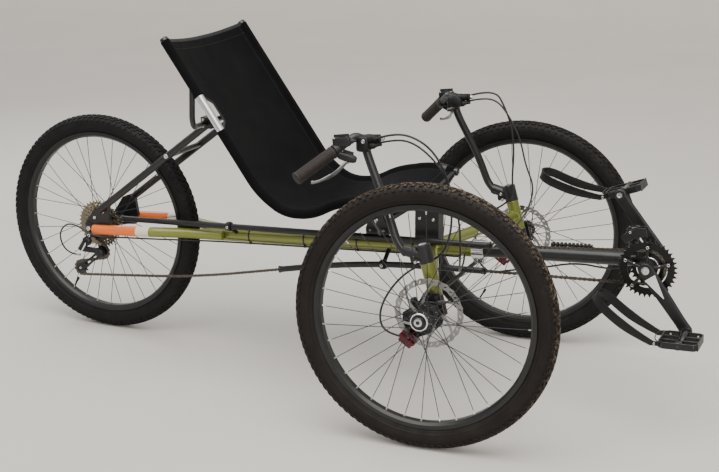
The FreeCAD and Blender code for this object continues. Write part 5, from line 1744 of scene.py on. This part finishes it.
def makeRailFittings():
    z, caps, clamps, bolts = railFittings, [], [], []
    target = min(railLine, key=lambda q: abs(q.x - place(z["clampX"], 0, 0).x)).x
    p, along = min((onRail(railLength * k / 400) for k in range(401)),
                   key=lambda found: abs(found[0].x - target))
    for s in (1, -1):
        out = left * s
        for end, inner in ((railLine[0], railLine[1]), (railLine[-1], railLine[-2])):
            at = end + out * railY
            caps.append(turnedPart(z["cap"], at, at + inner - end, 32))
        # a metal strap round the rail where the cross bar meets it
        at = p + out * railY
        clamps.append(turnedPart(z["clamp"], at - along * 0.012, at + along, 36, closed=True))
        lug = at - out * 0.016
        clamps.append(boxAlong(lug - Vector((0, 0, 0.004)), lug - Vector((0, 0, 0.02)), 0.02, 0.01))
        bolts.append(screw(at - out * 0.021 - Vector((0, 0, 0.013)), -out, 4.2, 3))
        bolts.append(screw(at + out * 0.0146, out, 3.6, 2))
        bolts += [screw(place(432, s * 103.5, height), out, 4, 2.6) for height in z["stayScrews"]]
        bolts.append(screw(place(300, s * 99, 592), out, 7, 4))
    addPiece("rail_caps", caps, soft["gloss"], "frame")
    addPiece("rail_clamps", clamps, paint["black"], "frame")
    addPiece("seat_bolts", bolts, metal["screw"], "frame")


cloth, clothRows, clothPoints = makeCloth()
hem, thread = makeHems(clothRows, clothPoints)
makeRailFittings()
print("seat is done", flush=True)


weldSizes = {"radius": 2.3, "ripple": 0.5, "armRadius": 17, "headRadius": 18, "root": 1092, "armDrop": 4,
             "collar": [(16, -1.6), (18.6, -1.4), (18.9, -0.4), (18.9, 1.4), (18.4, 2.2), (16, 2.2)],
             "collarAt": ((-43, -0.6), (43, -1.6))}


def bead(centres):
    # a weld: a rope of overlapping ripples along a closed line
    n, pts, fcs, c = len(centres), [], [], 8
    for i, p in enumerate(centres):
        ahead = (centres[(i + 1) % n] - centres[i - 1]).normalized()
        across = ahead.orthogonal().normalized()
        top = ahead.cross(across)
        r = (weldSizes["radius"] + weldSizes["ripple"] * math.cos(math.pi * (i % 4) / 2)) * mm
        pts += [p + across * a + top * b for a, b in circle(r, c)]
    for i in range(n):
        here, there = i * c, (i + 1) % n * c
        fcs += [(here + k, there + k, there + (k + 1) % c, here + (k + 1) % c) for k in range(c)]
    return pts, fcs


def meeting(origin, target, radius, axisPoint, axisDir, otherRadius, steps=120):
    # where a tube that runs from origin to target comes out through the skin of another tube
    d, line = (target - origin).normalized(), []
    m, other = facing(d, origin), axisDir.normalized()
    for x, y in circle(radius, steps):
        p = m @ Vector((x, y, 0))
        low, high = 0.0, 0.16
        for _ in range(26):
            middle = (low + high) / 2
            inside = (p + d * middle - axisPoint).cross(other).length < otherRadius
            low, high = (middle, high) if inside else (low, middle)
        line.append(p + d * low)
    return line


def makeWelds():
    z, welds = weldSizes, []
    x, y, up = stance["kingpin"]
    root, along = spineAt(z["root"]), spineAt(1248) - spineAt(372)
    for s in (1, -1):
        pivot = place(x, s * y, up)
        head = pivot - caster * z["armDrop"] * mm
        welds.append(bead(meeting(root, head, z["armRadius"] * mm, root, along, stance["spineRadius"] * mm)))
        welds.append(bead(meeting(head, root, z["armRadius"] * mm, pivot, caster, z["headRadius"] * mm)))
        for d, shift in z["collarAt"]:
            at = pivot + caster * d * mm
            welds.append(turnedPart(z["collar"], at + caster * shift * mm, at + caster * 0.1, 44,
                                    closed=True))
    addPiece("frame_welds", welds, paint["green"], "frame")


def chainAt(x, upper):
    # where the chain runs at this x, and which way, in mm
    found = []
    for k in range(2400):
        a, b = (onChain(lengths[-1] * i / 2400) for i in (k, k + 1))
        if (a.x - x) * (b.x - x) <= 0 and a.x != b.x:
            found.append((a.lerp(b, (x - a.x) / (b.x - a.x)), (b - a).normalized()))
    return (max if upper else min)(found, key=lambda spot: spot[0].y)


trimSizes = {
    "axleCap": [(0, 0), (13.4, 0), (14, 0.8), (14, 3), (12.8, 3.8), (0, 3.8)],
    "axleNut": [(0, 0), (8.4, 0), (8.4, 5.6), (7, 6.6), (4.6, 6.6), (4.6, 9), (0, 9.4)],
    "nut": [(0, 0), (4.8, 0), (4.8, 4), (0, 4)],
    "collarRing": [(25.6, -1.2), (27.2, -0.8), (27.6, 0), (27.2, 0.8), (25.6, 1.2)], "collar": (1214, 1248),
    "mouth": [(7.0, -9), (8.9, -9), (9.2, -3), (10.4, 0.6), (10.8, 2), (9.6, 2.4), (7.4, 0)],
    # x, upper run, outward
    "mouths": ((104, True, -1), (1278, True, 1), (644, False, -1), (1264, False, 1)),
    "tubeClip": [(12.4, 0), (14, 0.6), (14, 9.4), (12.4, 10)], "tubeClips": ((478, True), (968, False)),
    "plateScrews": ((1062, 470), (1102, 470), (1082, 496)),
    "propScrews": ((932, 452), (912, 420), (952, 422)),
}


def makeFrameTrim():
    z, dark, bright = trimSizes, [], []
    along = (spineAt(1248) - spineAt(372)).normalized()
    down = along.cross(left)
    down = -down if down.z > 0 else down
    for s in (1, -1):
        # axle ends and rack screws
        at, out = place(0, s * 79.6, stance["axleZ"]), left * s
        dark.append(turnedPart(z["axleCap"], at, at + out, 32))
        bright.append(turnedPart(z["axleNut"], at + out * 0.0036, at + out, 6))
        bright.append(screw(place(20, s * 79.5, 373), out, 5, 3.4))
        bright.append(screw(place(50, s * 79.5, 392), out, 3.6, 1.8))
    bright += [screw(spineAt(x) + down * 0.0244, down, 4.4, 2.6) for x in (560, 624)]
    # bolts and end rings of the boom's clamp
    rear, front = (spineAt(x) for x in z["collar"])
    for t in (0.28, 0.74):
        at = rear.lerp(front, t) - Vector((0, 0, 0.0305))
        bright.append(pin(at - left * 0.0125, at + left * 0.0125, 3.1))
        bright.append(screw(at - left * 0.009, -left, 4.6, 4.4))
        dark.append(turnedPart(z["nut"], at + left * 0.009, at + left, 6))
    for t in (0.02, 0.98):
        at = rear.lerp(front, t)
        bright.append(turnedPart(z["collarRing"], at, at + along, 56, closed=True))
    mouths = []
    for x, upper, outward in z["mouths"]:
        p, ahead = chainAt(x, upper)
        ahead = ahead if ahead.x * outward > 0 else -ahead
        at = place(p.x, chainY, p.y)
        mouths.append(turnedPart(z["mouth"], at, at + Vector((ahead.x, 0, ahead.y)), 32, closed=True))
    addPiece("tube_mouths", mouths, soft["gloss"], "frame")
    for x, upper in z["tubeClips"]:
        p, ahead = chainAt(x, upper)
        bright.append(screw(place(x, chainY - 12.2, p.y), -left, 4.4, 3))
        dark.append(turnedPart(z["tubeClip"], place(x - 5, chainY, p.y), place(x + 40, chainY, p.y + 2), 32,
                               closed=True))
    return dark, bright


rodSizes = {
    "boot": [(6.1, 0), (9.2, 0.6), (10, 3), (8.6, 5), (9.6, 7), (8.2, 9), (9, 11), (7.2, 13), (6.1, 13)],
    "nut": [(6.1, 0), (9.2, 0), (9.2, 5.5), (6.1, 5.5)],
    "flat": [(6.1, 0), (7.6, 0.6), (7.6, 19.4), (6.1, 20)],
}


def makeTieRodEnds():
    # rubber boots, lock nuts and a flat at each end
    z, boots, nuts = rodSizes, [], []
    spread = 2 * stance["kingpin"][1] * mm
    for s in (1, -1):
        at = Vector(joints["tie_rod_swing"]["pos_m"]) - caster * 0.007 - left * (spread if s < 0 else 0)
        for profile, start, segments, shapes in ((z["boot"], 12, 28, boots), (z["nut"], 46, 6, nuts),
                                                 (z["flat"], 26, 20, boots)):
            shapes.append(turnedPart(profile, at - left * s * start * mm, at - left * s, segments,
                                     closed=True))
    addPiece("tie_rod_boots", boots, soft["plastic"], "tie_rod")
    addPiece("tie_rod_nuts", nuts, metal["screw"], "tie_rod")


stripSizes = {"from": 1430, "to": 1541, "rise": 25.9, "ribs": 10, "pitch": 10.6}
propSizes = {"plate": [(900, 398), (966, 402), (968, 424), (950, 462), (932, 470), (912, 462), (898, 424)],
             "middle": (930, 430), "plateY": 17, "thickness": 3}


def makeBoomStrip():
    # a ribbed rubber strip on top of the boom
    z = stripSizes
    a, b = (spineAt(x) + Vector((0, 0, z["rise"] * mm)) for x in (z["from"], z["to"]))
    profile, length = [(0, 0), (5.4, 0), (6.8, 1.4)], (b - a).length / mm
    for k in range(z["ribs"]):
        h = 4 + k * z["pitch"]
        profile += [(6, h - 0.3), (7.6, h + 0.7), (7.6, h + 5.4), (6.4, h + 6.4), (3.2, h + 6.6),
                    (3.2, h + 9.8)]
    profile += [(6.8, length - 1.6), (5.4, length), (0, length)]
    addPiece("boom_rib_strip", [turnedPart(profile, a, b, 28)], soft["plastic"], "frame",
             ["boom_rail"])


def makeSeatProp():
    # a folded bracket on the main tube under the seat
    z = propSizes
    middleX, middleZ = z["middle"]
    outline = [((x - middleX) * mm, (up - middleZ) * mm) for x, up in z["plate"]]
    prop = [moved(flatShape(outline, [circle(4 * mm, 16, (0, 0.024))], z["thickness"] * mm, 0.0004),
                  upright(z["middle"], y)) for y in (-z["plateY"], z["plateY"])]
    prop.append(boxAlong(place(905, 0, 404), place(962, 0, 407), 0.034, 0.006))
    addPiece("seat_prop", prop, paint["black"], "frame")


makeWelds()
darkTrim, brightTrim = makeFrameTrim()
makeTieRodEnds()
makeBoomStrip()
makeSeatProp()
for s in (-1, 1):
    for x, up in trimSizes["propScrews"]:
        brightTrim.append(screw(place(x, s * 18.4, up), left * s, 5 if up > 440 else 4.2, 3))
for s in (1, -1):
    brightTrim += [screw(place(x, s * 19.8, up), left * s, 4.4, 3) for x, up in trimSizes["plateScrews"]]
addPiece("frame_bolts", brightTrim, metal["screw"], "frame")
addPiece("frame_dark_trim", darkTrim, metal["darkScrew"], "frame")
print("frame trim is done", flush=True)


def stageMaterial():
    mat = bpy.data.materials.new("palePaper")
    mat.use_nodes = True
    t = Tree(mat.node_tree)
    inputs = mat.node_tree.nodes["Principled BSDF"].inputs
    # painted shade: the paper is painted darker towards the near side and lighter towards the wall, standing
    # in for how the light falls off; the noise below only varies its tone at random
    depth = t.span(t.axis(t.objectPlace(), "Y"), -2.5, 9.0)
    colour = t.ramp(depth, 0.0, 1.0, (0.56, 0.535, 0.50, 1), (0.93, 0.86, 0.77, 1))
    mottled = t.noise(Scale=1.3, Detail=5.0)
    t.link(t.brighten(colour, t.span(mottled.outputs["Fac"], toMin=0.95, toMax=1.05)), inputs["Base Color"])
    inputs["Roughness"].default_value = 0.85
    inputs["Specular IOR Level"].default_value = 0.2
    return mat


stageSizes = {"half": 15.0, "near": -11.0, "wall": 11.0, "curve": 3.0, "height": 9.0}     # m
lights = [  # name, place, aim, size, power, colour
    ("overhead", (0.4, -1.2, 3.6), (0.1, 0.0, 0.4), (4.0, 3.0), 150, (1.0, 0.98, 0.95)),
    ("frontFill", (2.8, -3.8, 2.2), (0.2, 0.0, 0.4), (2.5, 2.0), 70, (1.0, 0.97, 0.93)),
    ("rearFill", (-3.0, 1.6, 2.4), (0.0, 0.0, 0.5), (2.0, 2.0), 36, (0.92, 0.96, 1.0)),
]
view = {"at": (1.586955, -3.2149, 1.4087), "right": (0.909131, 0.416492, -0.004026),
        "up": (-0.11152, 0.25272, 0.961091), "forward": (-0.4013, 0.8733, -0.2762), "lens": 65.06}


def makeStage():
    z = stageSizes
    centre = (z["wall"] - z["curve"], z["curve"])
    profile = [(z["near"], 0.0), *arc(centre, z["curve"], -math.pi / 2, 0, 12), (z["wall"], z["height"])]
    n = len(profile)
    pts = [(x, y, h) for x in (-z["half"], z["half"]) for y, h in profile]
    fcs = [(i, i + n, i + 1 + n, i + 1) for i in range(n - 1)]
    backdrop = addPiece("backdrop", [(pts, fcs)], stageMaterial(), None)


def makeLights():
    for name, at, towards, size, power, colour in lights:
        lamp = bpy.data.lights.new(name, "AREA")
        lamp.shape, lamp.size, lamp.size_y, lamp.energy, lamp.color = "RECTANGLE", *size, power, colour
        obj = bpy.data.objects.new(name, lamp)
        bpy.context.scene.collection.objects.link(obj)
        obj.location = at
        obj.rotation_euler = (Vector(towards) - Vector(at)).to_track_quat("-Z", "Y").to_euler()
    world = bpy.data.worlds.new("room")
    bpy.context.scene.world = world
    world.use_nodes = True
    t = Tree(world.node_tree)
    height = t.span(t.axis(t.add("TexCoord").outputs["Generated"], "Z"), fromMin=-0.3)
    glow = t.ramp(height, 0.1, 1.0, (0.42, 0.40, 0.38, 1), (0.95, 0.97, 1.0, 1))
    background = world.node_tree.nodes["Background"]
    t.link(glow, background.inputs["Color"])
    background.inputs["Strength"].default_value = 1.0


def makeCamera():
    data = bpy.data.cameras.new("view")
    data.lens, data.sensor_width = view["lens"], 36
    camera = bpy.data.objects.new("view", data)
    bpy.context.scene.collection.objects.link(camera)
    camera.matrix_world = axes(view["right"], view["up"], [-v for v in view["forward"]], view["at"])
    bpy.context.scene.camera = camera


makeStage()
makeLights()
makeCamera()
